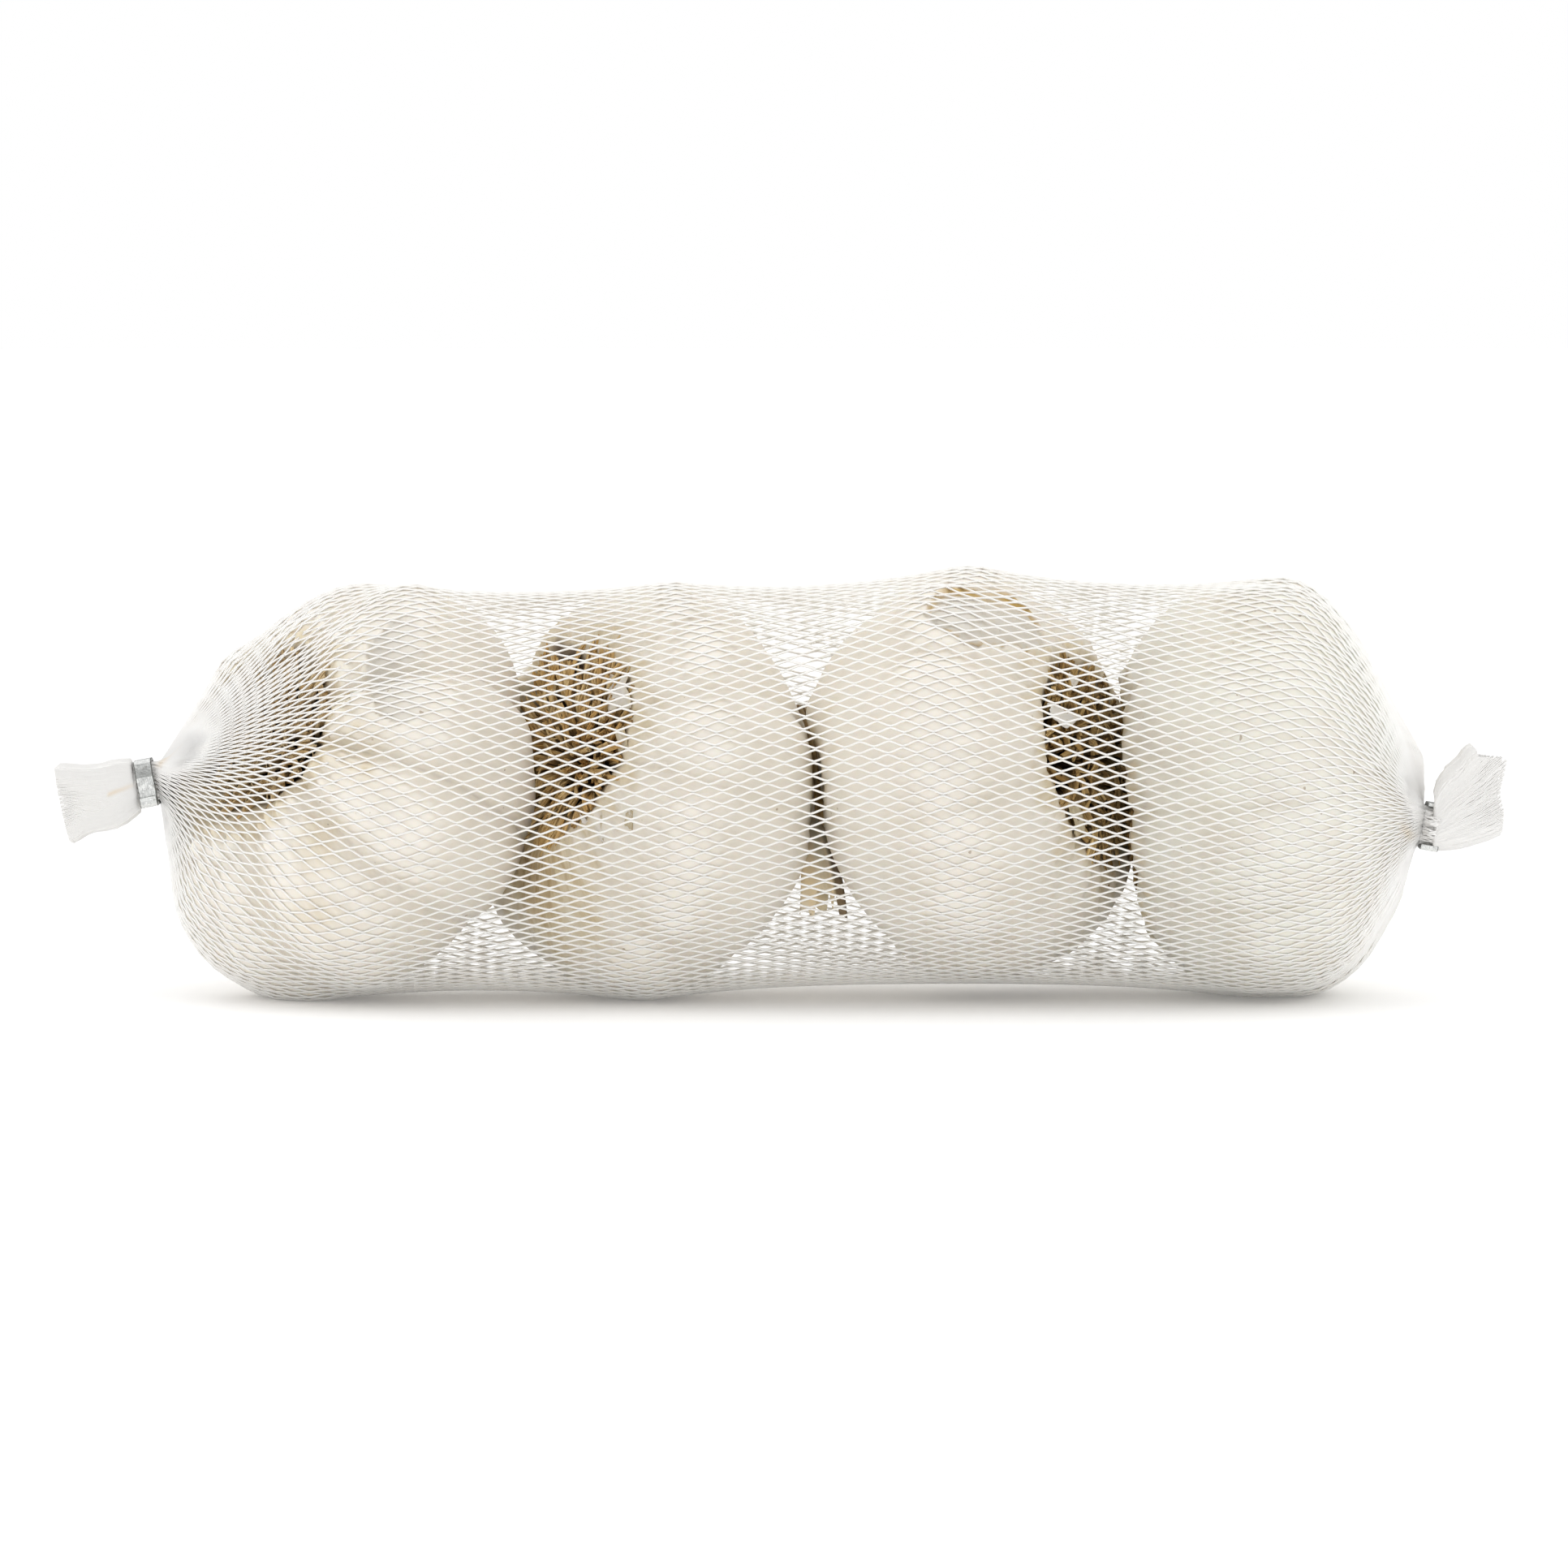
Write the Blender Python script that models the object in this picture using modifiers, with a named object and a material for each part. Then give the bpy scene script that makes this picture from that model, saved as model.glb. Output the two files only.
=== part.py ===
"""Net sleeve of garlic: four bulbs lie in a row in a stretched tube of white diamond net.

A bent metal strip clips the net shut at each end, and a short gathered tail of net runs on beyond it.
The sleeve is one closed solid: the taut surface that the net takes over the bulbs, its two necks
through the clips and its two tails. Lengths are in metres, +X runs along the row of bulbs, -Y is the
front and the floor is at z = 0. The origin is under the middle of the whole.
"""

import math
from dataclasses import dataclass

import bmesh
import bpy
import numpy as np

MM = 0.001
TURN = 2 * math.pi
AIR = 0.3 * MM  # between a clip and the net that it holds


# ---------------------------------------------------------------- driving dimensions: the bulbs


@dataclass
class Bulb:
    """One garlic bulb. Its surface is a distance from its centre for every direction."""

    centre: tuple  # of the widest section, before the sleeve is centred
    root: tuple  # direction of the root plate
    belly: float  # greatest radius
    base: float  # centre to the root side
    shoulder: float  # centre to the stem side
    neck: float  # how far the cut stem stands out
    cloves: int
    crease: float  # depth of the creases between cloves, as a share of the radius
    seed: int  # draws the widths of the cloves
    swells: tuple  # (direction, height, spread in radians) of what bulges or falls away


BULBS = (
    Bulb(
        centre=(-57.8 * MM, 0.0, 28.1 * MM),
        root=(-0.62, -0.62, 0.48),
        belly=27.8 * MM,
        base=17.5 * MM,
        shoulder=20.2 * MM,
        neck=2.0 * MM,
        cloves=8,
        crease=0.085,
        seed=3,
        swells=(
            ((-0.80, -0.10, -0.60), 1.0 * MM, 0.40),
            ((-0.62, 0.35, 0.70), 0.6 * MM, 0.30),
            ((0.25, 0.0, 1.0), 1.5 * MM, 0.30),
            ((-0.35, 0.0, -1.0), 2.0 * MM, 0.45),
        ),
    ),
    Bulb(
        centre=(-17.4 * MM, 0.5 * MM, 28.4 * MM),
        root=(-0.74, -0.58, 0.34),
        belly=27.9 * MM,
        base=17.0 * MM,
        shoulder=19.0 * MM,
        neck=2.0 * MM,
        cloves=9,
        crease=0.045,
        seed=5,
        swells=(
            ((0.90, 0.0, 0.30), -0.8 * MM, 0.40),
            ((0.75, 0.0, 0.70), -1.8 * MM, 0.35),
            ((0.0, 0.05, -1.0), 1.2 * MM, 0.45),
        ),
    ),
    Bulb(
        centre=(24.9 * MM, 0.0, 30.0 * MM),
        root=(0.87, -0.42, 0.24),
        belly=27.8 * MM,
        base=19.6 * MM,
        shoulder=20.5 * MM,
        neck=2.0 * MM,
        cloves=9,
        crease=0.045,
        seed=8,
        swells=(
            ((-0.75, 0.0, -0.66), -4.0 * MM, 0.45),
            ((-0.80, 0.0, 0.60), -2.4 * MM, 0.45),
        ),
    ),
    Bulb(
        centre=(66.3 * MM, 0.5 * MM, 28.3 * MM),
        root=(-0.97, 0.10, -0.10),
        belly=27.9 * MM,
        base=21.1 * MM,
        shoulder=19.0 * MM,
        neck=1.5 * MM,
        cloves=9,
        crease=0.035,
        seed=11,
        swells=(
            ((0.75, 0.0, 0.70), -1.3 * MM, 0.40),
            ((0.95, 0.0, 0.25), 0.6 * MM, 0.30),
            ((0.0, 0.0, -1.0), 0.6 * MM, 0.45),
        ),
    ),
)

# Form that the bulbs share. A rise is the cosine of the angle from the stem: 1 there, -1 at the roots.
# Each pair below says where one thing starts to give way to the other, and where it has done so.
BASE_TO_SHOULDER = (-0.4, 0.4)  # rises between which the base's half height turns into the shoulder's
ROOT_SIDE_POWER = 2.5  # of the bulb's outline: 2 is an ellipse, and more is squarer
STEM_SIDE_POWER = 2.05
ROOT_TO_STEM_POWER = (-0.2, 0.6)
STEM_SPREAD = 0.27  # radians that the cut stem takes up
CLOVE_WIDTHS = (0.7, 1.4)  # least and greatest, against each other
CLOVE_HEIGHTS = (0.6, 1.25)
CLOVE_ARCH_POWER = 2.2  # of the arch of a clove: flat in its middle, steep at its creases
CLOVE_ARCH_MEAN = 0.65  # taken off the arch, so that the belly stays as wide
CLOVES_FADE_TO_STEM = (0.1, 0.85)
CLOVES_LEFT_AT_STEM = 0.1  # share of the creases' depth
CLOVES_FADE_FROM_AXIS = (0.15, 0.5)  # shares of the radius
ROOT_PLATE_DEPTH = 5.0 * MM  # how far the root plate lies inside the ring of cloves
ROOT_PLATE_EDGE = (0.52, 0.80)  # radians from the root, where the plate ends and its wall is climbed
REACH_OF_A_BULB = 1.3  # bellies from its centre within which a bulb's skin always lies

# ---------------------------------------------------------------- driving dimensions: the net

NET_THICKNESS = 0.35 * MM  # of the net over the skin of a bulb
FACETS_AROUND = 48  # of the solid; the real net has about 90 holes around
MESHES_AROUND = 90
ARM = 2.17 * MM  # side of one diamond of the real net
SLACK_ARM = 0.86  # share of its length that an arm has when nothing pulls it
RINGS = 58  # of the solid, from clip to clip
AXIS_HEIGHT = 28.5 * MM  # of the sleeve before it is drawn tight
AXIS_SPAN = (0.1, 0.9)  # shares of the way from clip to clip between which it lies level
TUBE_RADIUS = 31 * MM
TUBE_TAPER = (0.08, 0.45)  # sines of the way from clip to clip at its neck and at its full radius
SETTLING_STEPS = 1500
SPEED_KEPT = 0.9  # from one step to the next
STEP = 0.12  # share of the pull that a step adds
LEAST_PULL = 0.03  # share of its length that a slack arm still pulls with
GRIP = 0.5  # share of its speed that a point keeps where it rests on a bulb

# ---------------------------------------------------------------- driving dimensions: the clips

STRIP_WIDTH = 2.4 * MM  # of the metal strip, along X
STRIP_THICKNESS = 0.45 * MM
CLIP_HALF_HEIGHT = 2.95 * MM  # to the middle of the strip
CLIP_HALF_DEPTH = 2.05 * MM
CLIP_CORNER = 0.9 * MM
CLIP_ROUNDING = 0.06 * MM  # of the strip's own edges
LEFT_CLIP = (-85.9 * MM, -0.5 * MM, 29.1 * MM)
LEFT_CLIP_LEAN = math.radians(-11)  # its top leans away from the bulbs
LEFT_CREASE = 0.9 * MM  # height of the fold across its front
LEFT_TOP_CORNER = 1.35 * MM  # from its front to where its top is level
LEFT_CURL = 0.52 * MM  # radius of the roll along its bottom front edge
LEFT_CURL_SWEEP = 250  # degrees
LEFT_CURL_GAP = 1.35 * MM  # from the front to the end of the bottom leg behind the roll
RIGHT_CLIP = (87.2 * MM, -8.5 * MM, 23.9 * MM)  # in front of the last bulb's end
RIGHT_CLIP_LEAN = math.radians(10)
RIGHT_LIP = 0.55 * MM  # height of the lip that ends its bottom leg
RIGHT_LIP_CORNER = 0.27 * MM
NECK_POWER = 0.8  # of the net's section in a clip: under 1 is squarer than an ellipse
SIDE_AIR = 0.4 * MM  # between a clip's side and the net that bulges beside it
BESIDE_CLIP = 5 * MM  # from a clip's middle, where its side holds the net back

# Sections of the tails beyond the clips: x, lowest and highest z, half the depth.
LEFT_TAIL = (
    (-88.6 * MM, 24.6 * MM, 32.3 * MM, 1.6 * MM),
    (-90.6 * MM, 23.2 * MM, 32.2 * MM, 2.0 * MM),
    (-92.6 * MM, 22.7 * MM, 31.7 * MM, 2.3 * MM),
    (-94.6 * MM, 22.3 * MM, 31.4 * MM, 2.5 * MM),
    (-97.2 * MM, 21.2 * MM, 31.4 * MM, 2.7 * MM),
)
LEFT_CUT_SLANT = -0.24  # x lost for each metre of height along the cut
RIGHT_TAIL = (
    (89.2 * MM, 20.7 * MM, 30.4 * MM, 1.9 * MM),
    (91.0 * MM, 20.8 * MM, 33.1 * MM, 2.3 * MM),
    (92.8 * MM, 21.2 * MM, 34.8 * MM, 2.6 * MM),
    (94.8 * MM, 21.8 * MM, 33.6 * MM, 2.8 * MM),
    (97.1 * MM, 23.0 * MM, 33.5 * MM, 2.9 * MM),
)
RIGHT_CUT_SLANT = 0.09
PLEATS = 8  # folds that show around a tail
PLEAT_DEPTH = 0.16  # share of a section's depth


# ---------------------------------------------------------------- bulb form


def unit(vector):
    vector = np.asarray(vector, float)
    return vector / np.linalg.norm(vector)


def eased(value, low, high):
    """0 below low, 1 above high and a smooth step between them."""
    share = np.clip((value - low) / (high - low), 0.0, 1.0)
    return share * share * (3 - 2 * share)


def bulb_axes(bulb):
    """Two directions across the bulb, then the one from its root to its stem."""
    stem = -unit(bulb.root)
    across = unit(np.cross(stem, (0.0, 0.0, 1.0)))
    return np.stack([across, np.cross(stem, across), stem])


def clove_edges(bulb):
    """The angles where cloves meet, and how far each clove swells."""
    draw = np.random.default_rng(bulb.seed)
    widths = draw.uniform(*CLOVE_WIDTHS, bulb.cloves)
    edges = np.concatenate([[0.0], np.cumsum(widths) / widths.sum()]) * TURN
    return edges, draw.uniform(*CLOVE_HEIGHTS, bulb.cloves)


def skin_distance(bulb, directions):
    """Distance from the bulb's centre to its skin along each unit direction."""
    local = directions @ bulb_axes(bulb).T
    rise = local[:, 2]
    out = np.hypot(local[:, 0], local[:, 1])
    from_stem = np.arctan2(out, rise)
    half = bulb.base + (bulb.shoulder - bulb.base) * eased(rise, *BASE_TO_SHOULDER)
    power = ROOT_SIDE_POWER + (STEM_SIDE_POWER - ROOT_SIDE_POWER) * eased(rise, *ROOT_TO_STEM_POWER)
    distance = ((out / bulb.belly) ** power + (np.abs(rise) / half) ** power) ** (-1 / power)
    distance += bulb.neck * np.exp(-((from_stem / STEM_SPREAD) ** 2))

    edges, heights = clove_edges(bulb)
    turn = np.arctan2(local[:, 1], local[:, 0]) % TURN
    clove = np.clip(np.searchsorted(edges, turn, side="right") - 1, 0, bulb.cloves - 1)
    across = (turn - edges[clove]) / (edges[clove + 1] - edges[clove])
    arch = 1 - np.abs(2 * across - 1) ** CLOVE_ARCH_POWER
    fade = 1 - (1 - CLOVES_LEFT_AT_STEM) * eased(rise, *CLOVES_FADE_TO_STEM)
    fade *= eased(out, *CLOVES_FADE_FROM_AXIS)
    distance *= 1 + bulb.crease * heights[clove] * (arch - CLOVE_ARCH_MEAN) * fade

    distance -= ROOT_PLATE_DEPTH * (1 - eased(math.pi - from_stem, *ROOT_PLATE_EDGE))
    for direction, height, spread in bulb.swells:
        angle = np.arccos(np.clip(directions @ unit(direction), -1, 1))
        distance += height * np.exp(-((angle / spread) ** 2))
    return distance


def push_out_of_bulbs(points, cover):
    """Moves points that lie inside a bulb, or nearer to its skin than cover, straight out of it."""
    for bulb in BULBS:
        offset = points - np.array(bulb.centre)
        length = np.linalg.norm(offset, axis=1)
        near = length < REACH_OF_A_BULB * bulb.belly
        direction = offset[near] / length[near, None]
        least = skin_distance(bulb, direction) + cover
        points[near] = np.array(bulb.centre) + direction * np.maximum(length[near], least)[:, None]


# ---------------------------------------------------------------- sleeve


def ring_angles(ring):
    """Where the points of a ring lie around it: every other ring is turned by half a step."""
    return (np.arange(FACETS_AROUND) + 0.5 * (ring % 2)) / FACETS_AROUND * TURN


def clip_section(centre, lean, along, ring):
    """A ring of the neck, along metres to the right of the middle of a clip."""
    half_height = CLIP_HALF_HEIGHT - STRIP_THICKNESS / 2 - AIR
    half_depth = CLIP_HALF_DEPTH - STRIP_THICKNESS / 2 - AIR
    angle = ring_angles(ring)
    y = half_depth * np.sign(np.cos(angle)) * np.abs(np.cos(angle)) ** NECK_POWER
    z = half_height * np.sign(np.sin(angle)) * np.abs(np.sin(angle)) ** NECK_POWER
    x = along * math.cos(lean) + z * math.sin(lean)
    return np.stack([x, y, z * math.cos(lean) - along * math.sin(lean)], 1) + np.array(centre)


def tail_section(section, slant, y_middle, ring):
    """A pleated ring of a tail, cut along a slanting plane."""
    x, low, high, half_depth = section
    angle = ring_angles(ring)
    z = (high - low) / 2 * np.sin(angle)
    y = half_depth * np.cos(angle) * (1 + PLEAT_DEPTH * np.cos(PLEATS * angle))
    return np.stack([x + slant * z, y + y_middle, z + (low + high) / 2], 1)


def neighbours():
    """For each point of the sleeve, the four points that the net's arms join it to."""
    ring, place = np.divmod(np.arange(RINGS * FACETS_AROUND), FACETS_AROUND)
    before = np.where(ring % 2 == 0, place - 1, place) % FACETS_AROUND
    after = np.where(ring % 2 == 0, place, place + 1) % FACETS_AROUND
    lower = np.maximum(ring - 1, 0) * FACETS_AROUND
    upper = np.minimum(ring + 1, RINGS - 1) * FACETS_AROUND
    return np.stack([lower + before, lower + after, upper + before, upper + after], 1)


def keep_off_clip(points, centre, lean, side):
    """Holds the points beside a clip clear of its face. side is 1 where the bulbs lie to its right."""
    offset = points - np.array(centre)
    reach = side * (offset[:, 0] * math.cos(lean) - offset[:, 2] * math.sin(lean))
    short = STRIP_WIDTH / 2 + SIDE_AIR - reach
    beside = (np.hypot(offset[:, 1], offset[:, 2]) < BESIDE_CLIP) & (short > 0)
    points[beside, 0] += side * short[beside]


def settled_rings(first, last):
    """The sleeve between its two pinned end rings, drawn tight over the bulbs."""
    share = np.linspace(0, 1, RINGS)
    middle_x = first[:, 0].mean() + share * (last[:, 0].mean() - first[:, 0].mean())
    heights = (LEFT_CLIP[2], AXIS_HEIGHT, AXIS_HEIGHT, RIGHT_CLIP[2])
    middle_z = np.interp(share, (0, *AXIS_SPAN, 1), heights)
    radius = TUBE_RADIUS * np.clip(np.sin(math.pi * share), *TUBE_TAPER) / TUBE_TAPER[1]
    rings = [
        np.stack(
            [
                np.full(FACETS_AROUND, middle_x[k]),
                radius[k] * np.cos(ring_angles(k)),
                middle_z[k] + radius[k] * np.sin(ring_angles(k)),
            ],
            1,
        )
        for k in range(RINGS)
    ]
    rings[0], rings[-1] = first, last
    points = np.concatenate(rings)
    joined = neighbours()
    slack = ARM * MESHES_AROUND / FACETS_AROUND * SLACK_ARM
    speed = np.zeros_like(points)
    free = slice(FACETS_AROUND, -FACETS_AROUND)
    for _ in range(SETTLING_STEPS):
        arm = points[joined[free]] - points[free, None]
        length = np.linalg.norm(arm, axis=2, keepdims=True)
        pull = (arm * np.maximum(1 - slack / length, LEAST_PULL)).sum(1)
        speed[free] = SPEED_KEPT * speed[free] + STEP * pull
        points[free] += speed[free]
        moved = points.copy()
        push_out_of_bulbs(points[free], NET_THICKNESS)
        keep_off_clip(points[free], LEFT_CLIP, LEFT_CLIP_LEAN, 1)
        keep_off_clip(points[free], RIGHT_CLIP, RIGHT_CLIP_LEAN, -1)
        points[:, 2] = np.maximum(points[:, 2], 0.0)
        speed[np.abs(points - moved).max(1) > 0] *= GRIP
    return np.split(points, RINGS)


def sleeve_rings():
    """Every ring of the sleeve, from the end of the left tail to the end of the right one."""
    face = STRIP_WIDTH / 2 + SIDE_AIR
    tails = len(LEFT_TAIL)
    parity = tails + 1  # the rings before the settled part
    left = [
        tail_section(section, LEFT_CUT_SLANT * k / (tails - 1), LEFT_CLIP[1], tails - 1 - k)
        for k, section in enumerate(LEFT_TAIL)
    ][::-1]
    left.append(clip_section(LEFT_CLIP, LEFT_CLIP_LEAN, -face, parity - 1))
    first = clip_section(LEFT_CLIP, LEFT_CLIP_LEAN, face, parity)
    last = clip_section(RIGHT_CLIP, RIGHT_CLIP_LEAN, -face, parity + RINGS - 1)
    body = settled_rings(first, last)
    right = [clip_section(RIGHT_CLIP, RIGHT_CLIP_LEAN, face, parity + RINGS)]
    right += [
        tail_section(section, RIGHT_CUT_SLANT * k / (tails - 1), RIGHT_CLIP[1], parity + RINGS + 1 + k)
        for k, section in enumerate(RIGHT_TAIL)
    ]
    return left + body + right


def net_mesh(rings):
    """A closed mesh through the rings, with the cut end of each tail filled."""
    mesh = bmesh.new()
    loops = [[mesh.verts.new(point) for point in ring] for ring in rings]
    for k in range(len(loops) - 1):
        near, far = loops[k], loops[k + 1]
        for i in range(FACETS_AROUND):
            after = (i + 1) % FACETS_AROUND
            if k % 2 == 0:
                mesh.faces.new((near[i], near[after], far[i]))
                mesh.faces.new((near[after], far[after], far[i]))
            else:
                mesh.faces.new((near[i], near[after], far[after]))
                mesh.faces.new((near[i], far[after], far[i]))
    for loop in (loops[0], loops[-1]):
        mesh.faces.new(loop)
    bmesh.ops.triangulate(mesh, faces=[face for face in mesh.faces if len(face.verts) > 3])
    bmesh.ops.recalc_face_normals(mesh, faces=mesh.faces)
    return mesh


# ---------------------------------------------------------------- clips


def arc(middle, radius, start, end, steps):
    """Points in the Y-Z plane on an arc, with angles in degrees from +Y towards +Z."""
    angles = np.radians(np.linspace(start, end, steps))
    return [(middle[0] + radius * math.cos(a), middle[1] + radius * math.sin(a)) for a in angles]


def left_clip_path():
    """Runs from the curl at the bottom front up over the neck and round underneath it."""
    y, z, r = CLIP_HALF_DEPTH, CLIP_HALF_HEIGHT, CLIP_CORNER
    path = arc((-y - LEFT_CURL, -z + LEFT_CURL), LEFT_CURL, -LEFT_CURL_SWEEP, 0, 10)
    path.append((-y, LEFT_CREASE))
    path += arc((-y + LEFT_TOP_CORNER, z - r), r, 140, 90, 3)
    path += arc((y - r, z - r), r, 90, 0, 4)
    path += arc((y - r, -z + r), r, 0, -90, 4)
    path.append((-y + LEFT_CURL_GAP, -z))
    return path


def right_clip_path():
    """Runs from the front of its top leg round the back to the lip of its bottom leg."""
    y, z, r = CLIP_HALF_DEPTH, CLIP_HALF_HEIGHT, CLIP_CORNER
    path = [(-y, z)]
    path += arc((y - r, z - r), r, 90, 0, 4)
    path += arc((y - r, -z + r), r, 0, -90, 4)
    path += arc((-y + RIGHT_LIP_CORNER, -z + RIGHT_LIP_CORNER), RIGHT_LIP_CORNER, -90, -180, 3)
    path.append((-y, -z + RIGHT_LIP))
    return path


def strip(name, path, centre, lean):
    """A flat strip bent along a path in the Y-Z plane."""
    mesh = bmesh.new()
    start = [mesh.verts.new((-STRIP_WIDTH / 2, y, z)) for y, z in path]
    edges = [mesh.edges.new(pair) for pair in zip(start, start[1:])]
    swept = bmesh.ops.extrude_edge_only(mesh, edges=edges)["geom"]
    moved = [item for item in swept if isinstance(item, bmesh.types.BMVert)]
    bmesh.ops.translate(mesh, verts=moved, vec=(STRIP_WIDTH, 0, 0))
    bmesh.ops.recalc_face_normals(mesh, faces=mesh.faces)
    clip = new_object(name, mesh)
    clip.location = centre
    clip.rotation_euler = (0, lean, 0)
    wall = clip.modifiers.new("thickness", "SOLIDIFY")
    wall.thickness = STRIP_THICKNESS
    wall.offset = 0
    wall.use_even_offset = True
    bevel = clip.modifiers.new("rounding", "BEVEL")
    bevel.width = CLIP_ROUNDING
    bevel.segments = 1
    bevel.limit_method = "ANGLE"
    bevel.angle_limit = math.radians(60)
    return clip


# ---------------------------------------------------------------- objects and materials


def new_object(name, mesh):
    data = bpy.data.meshes.new(name)
    mesh.to_mesh(data)
    mesh.free()
    data.shade_smooth()
    data.set_sharp_from_angle(angle=math.radians(50))
    made = bpy.data.objects.new(name, data)
    parts.objects.link(made)
    return made


def finish(piece, name, colour, roughness, metallic):
    material = bpy.data.materials.new(name)
    material.use_nodes = True
    shader = material.node_tree.nodes["Principled BSDF"]
    shader.inputs["Base Color"].default_value = (*colour, 1)
    shader.inputs["Roughness"].default_value = roughness
    shader.inputs["Metallic"].default_value = metallic
    piece.data.materials.append(material)


for old in list(bpy.data.objects):
    bpy.data.objects.remove(old)
parts = bpy.data.collections.new("net_of_garlic")
bpy.context.scene.collection.children.link(parts)

rings = sleeve_rings()
corners = np.concatenate(rings)
middle = (corners.min(0) + corners.max(0)) / 2 * np.array((1, 1, 0))
net = new_object("net", net_mesh([ring - middle for ring in rings]))
clip_left = strip("clip_left", left_clip_path(), np.array(LEFT_CLIP) - middle, LEFT_CLIP_LEAN)
clip_right = strip("clip_right", right_clip_path(), np.array(RIGHT_CLIP) - middle, RIGHT_CLIP_LEAN)

finish(net, "garlic_in_net", (0.80, 0.76, 0.68), 0.55, 0.0)
finish(clip_left, "clip_metal_left", (0.56, 0.57, 0.57), 0.32, 1.0)
finish(clip_right, "clip_metal_right", (0.56, 0.57, 0.57), 0.32, 1.0)
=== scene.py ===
# %% [markdown]
# # A net of garlic
# Four bulbs lie in a row in a stretched tube of white net. A bent strip of metal clips each end, and a
# short gathered tail of net runs on beyond it. The frame gives the two clips and one closed solid for the
# sleeve. Here that solid is replaced by what it stands for: the bulbs, their roots and every thread.

import math
from collections import namedtuple

import bpy
import numpy as np
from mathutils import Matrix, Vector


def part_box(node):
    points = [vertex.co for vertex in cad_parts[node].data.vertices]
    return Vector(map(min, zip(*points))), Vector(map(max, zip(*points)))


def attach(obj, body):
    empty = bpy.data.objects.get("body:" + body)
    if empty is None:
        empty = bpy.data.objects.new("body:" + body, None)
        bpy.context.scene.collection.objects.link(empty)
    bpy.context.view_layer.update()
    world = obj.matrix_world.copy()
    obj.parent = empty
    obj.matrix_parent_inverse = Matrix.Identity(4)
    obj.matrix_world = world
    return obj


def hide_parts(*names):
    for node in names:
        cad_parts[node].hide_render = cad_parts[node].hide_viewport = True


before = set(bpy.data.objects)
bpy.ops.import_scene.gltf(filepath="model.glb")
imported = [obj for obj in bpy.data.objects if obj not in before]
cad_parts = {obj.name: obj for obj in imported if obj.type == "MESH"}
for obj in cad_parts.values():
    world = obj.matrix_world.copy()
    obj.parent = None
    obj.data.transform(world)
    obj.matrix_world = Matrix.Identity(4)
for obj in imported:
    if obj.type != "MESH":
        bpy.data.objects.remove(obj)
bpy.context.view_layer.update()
for name in ("Cube", "Light", "Camera"):  # what a new file starts with
    if name in bpy.data.objects:
        bpy.data.objects.remove(bpy.data.objects[name])
MM = 0.001
TURN = 2 * math.pi


def mm(*values):
    """Lengths given in mm, as an array in metres."""
    return np.array(values) * MM


print("nodes:", sorted(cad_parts))

# %% [markdown]
# ## Where the frame stands
# The sizes below are those of the part's own source, which measures from a point between the clips. The
# frame is centred on its box instead. The clips give the small shift between the two, so everything can
# be worked out in the source's own sizes and moved once.

# %% Clip sizes and the shift
STRIP_WIDTH = 2.4 * MM
STRIP_THICKNESS = 0.45 * MM
CLIP_HALF_HEIGHT = 2.95 * MM  # to the middle of the strip
CLIP_HALF_DEPTH = 2.05 * MM
LEFT_CLIP = mm(-85.9, -0.5, 29.1)
RIGHT_CLIP = mm(87.2, -8.5, 23.9)
LEFT_LEAN, RIGHT_LEAN = math.radians(-11), math.radians(10)

_, left_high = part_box("clip_left")
right_low, right_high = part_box("clip_right")
shift = np.array((
    RIGHT_CLIP[0] - (right_low.x + right_high.x) / 2,
    LEFT_CLIP[1] + CLIP_HALF_DEPTH + STRIP_THICKNESS / 2 - left_high.y,
    0,
))
print("shift in mm:", (shift / MM).round(3))

# %% [markdown]
# ## The form of a bulb
# A garlic bulb is a squat globe of cloves. Its root plate is sunk into one end and its cut stem stands out
# of the other. Seen from its centre its skin is at one distance in every direction, so a formula for that
# distance gives the whole form, and the net can later ask it where the skin is.

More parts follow.
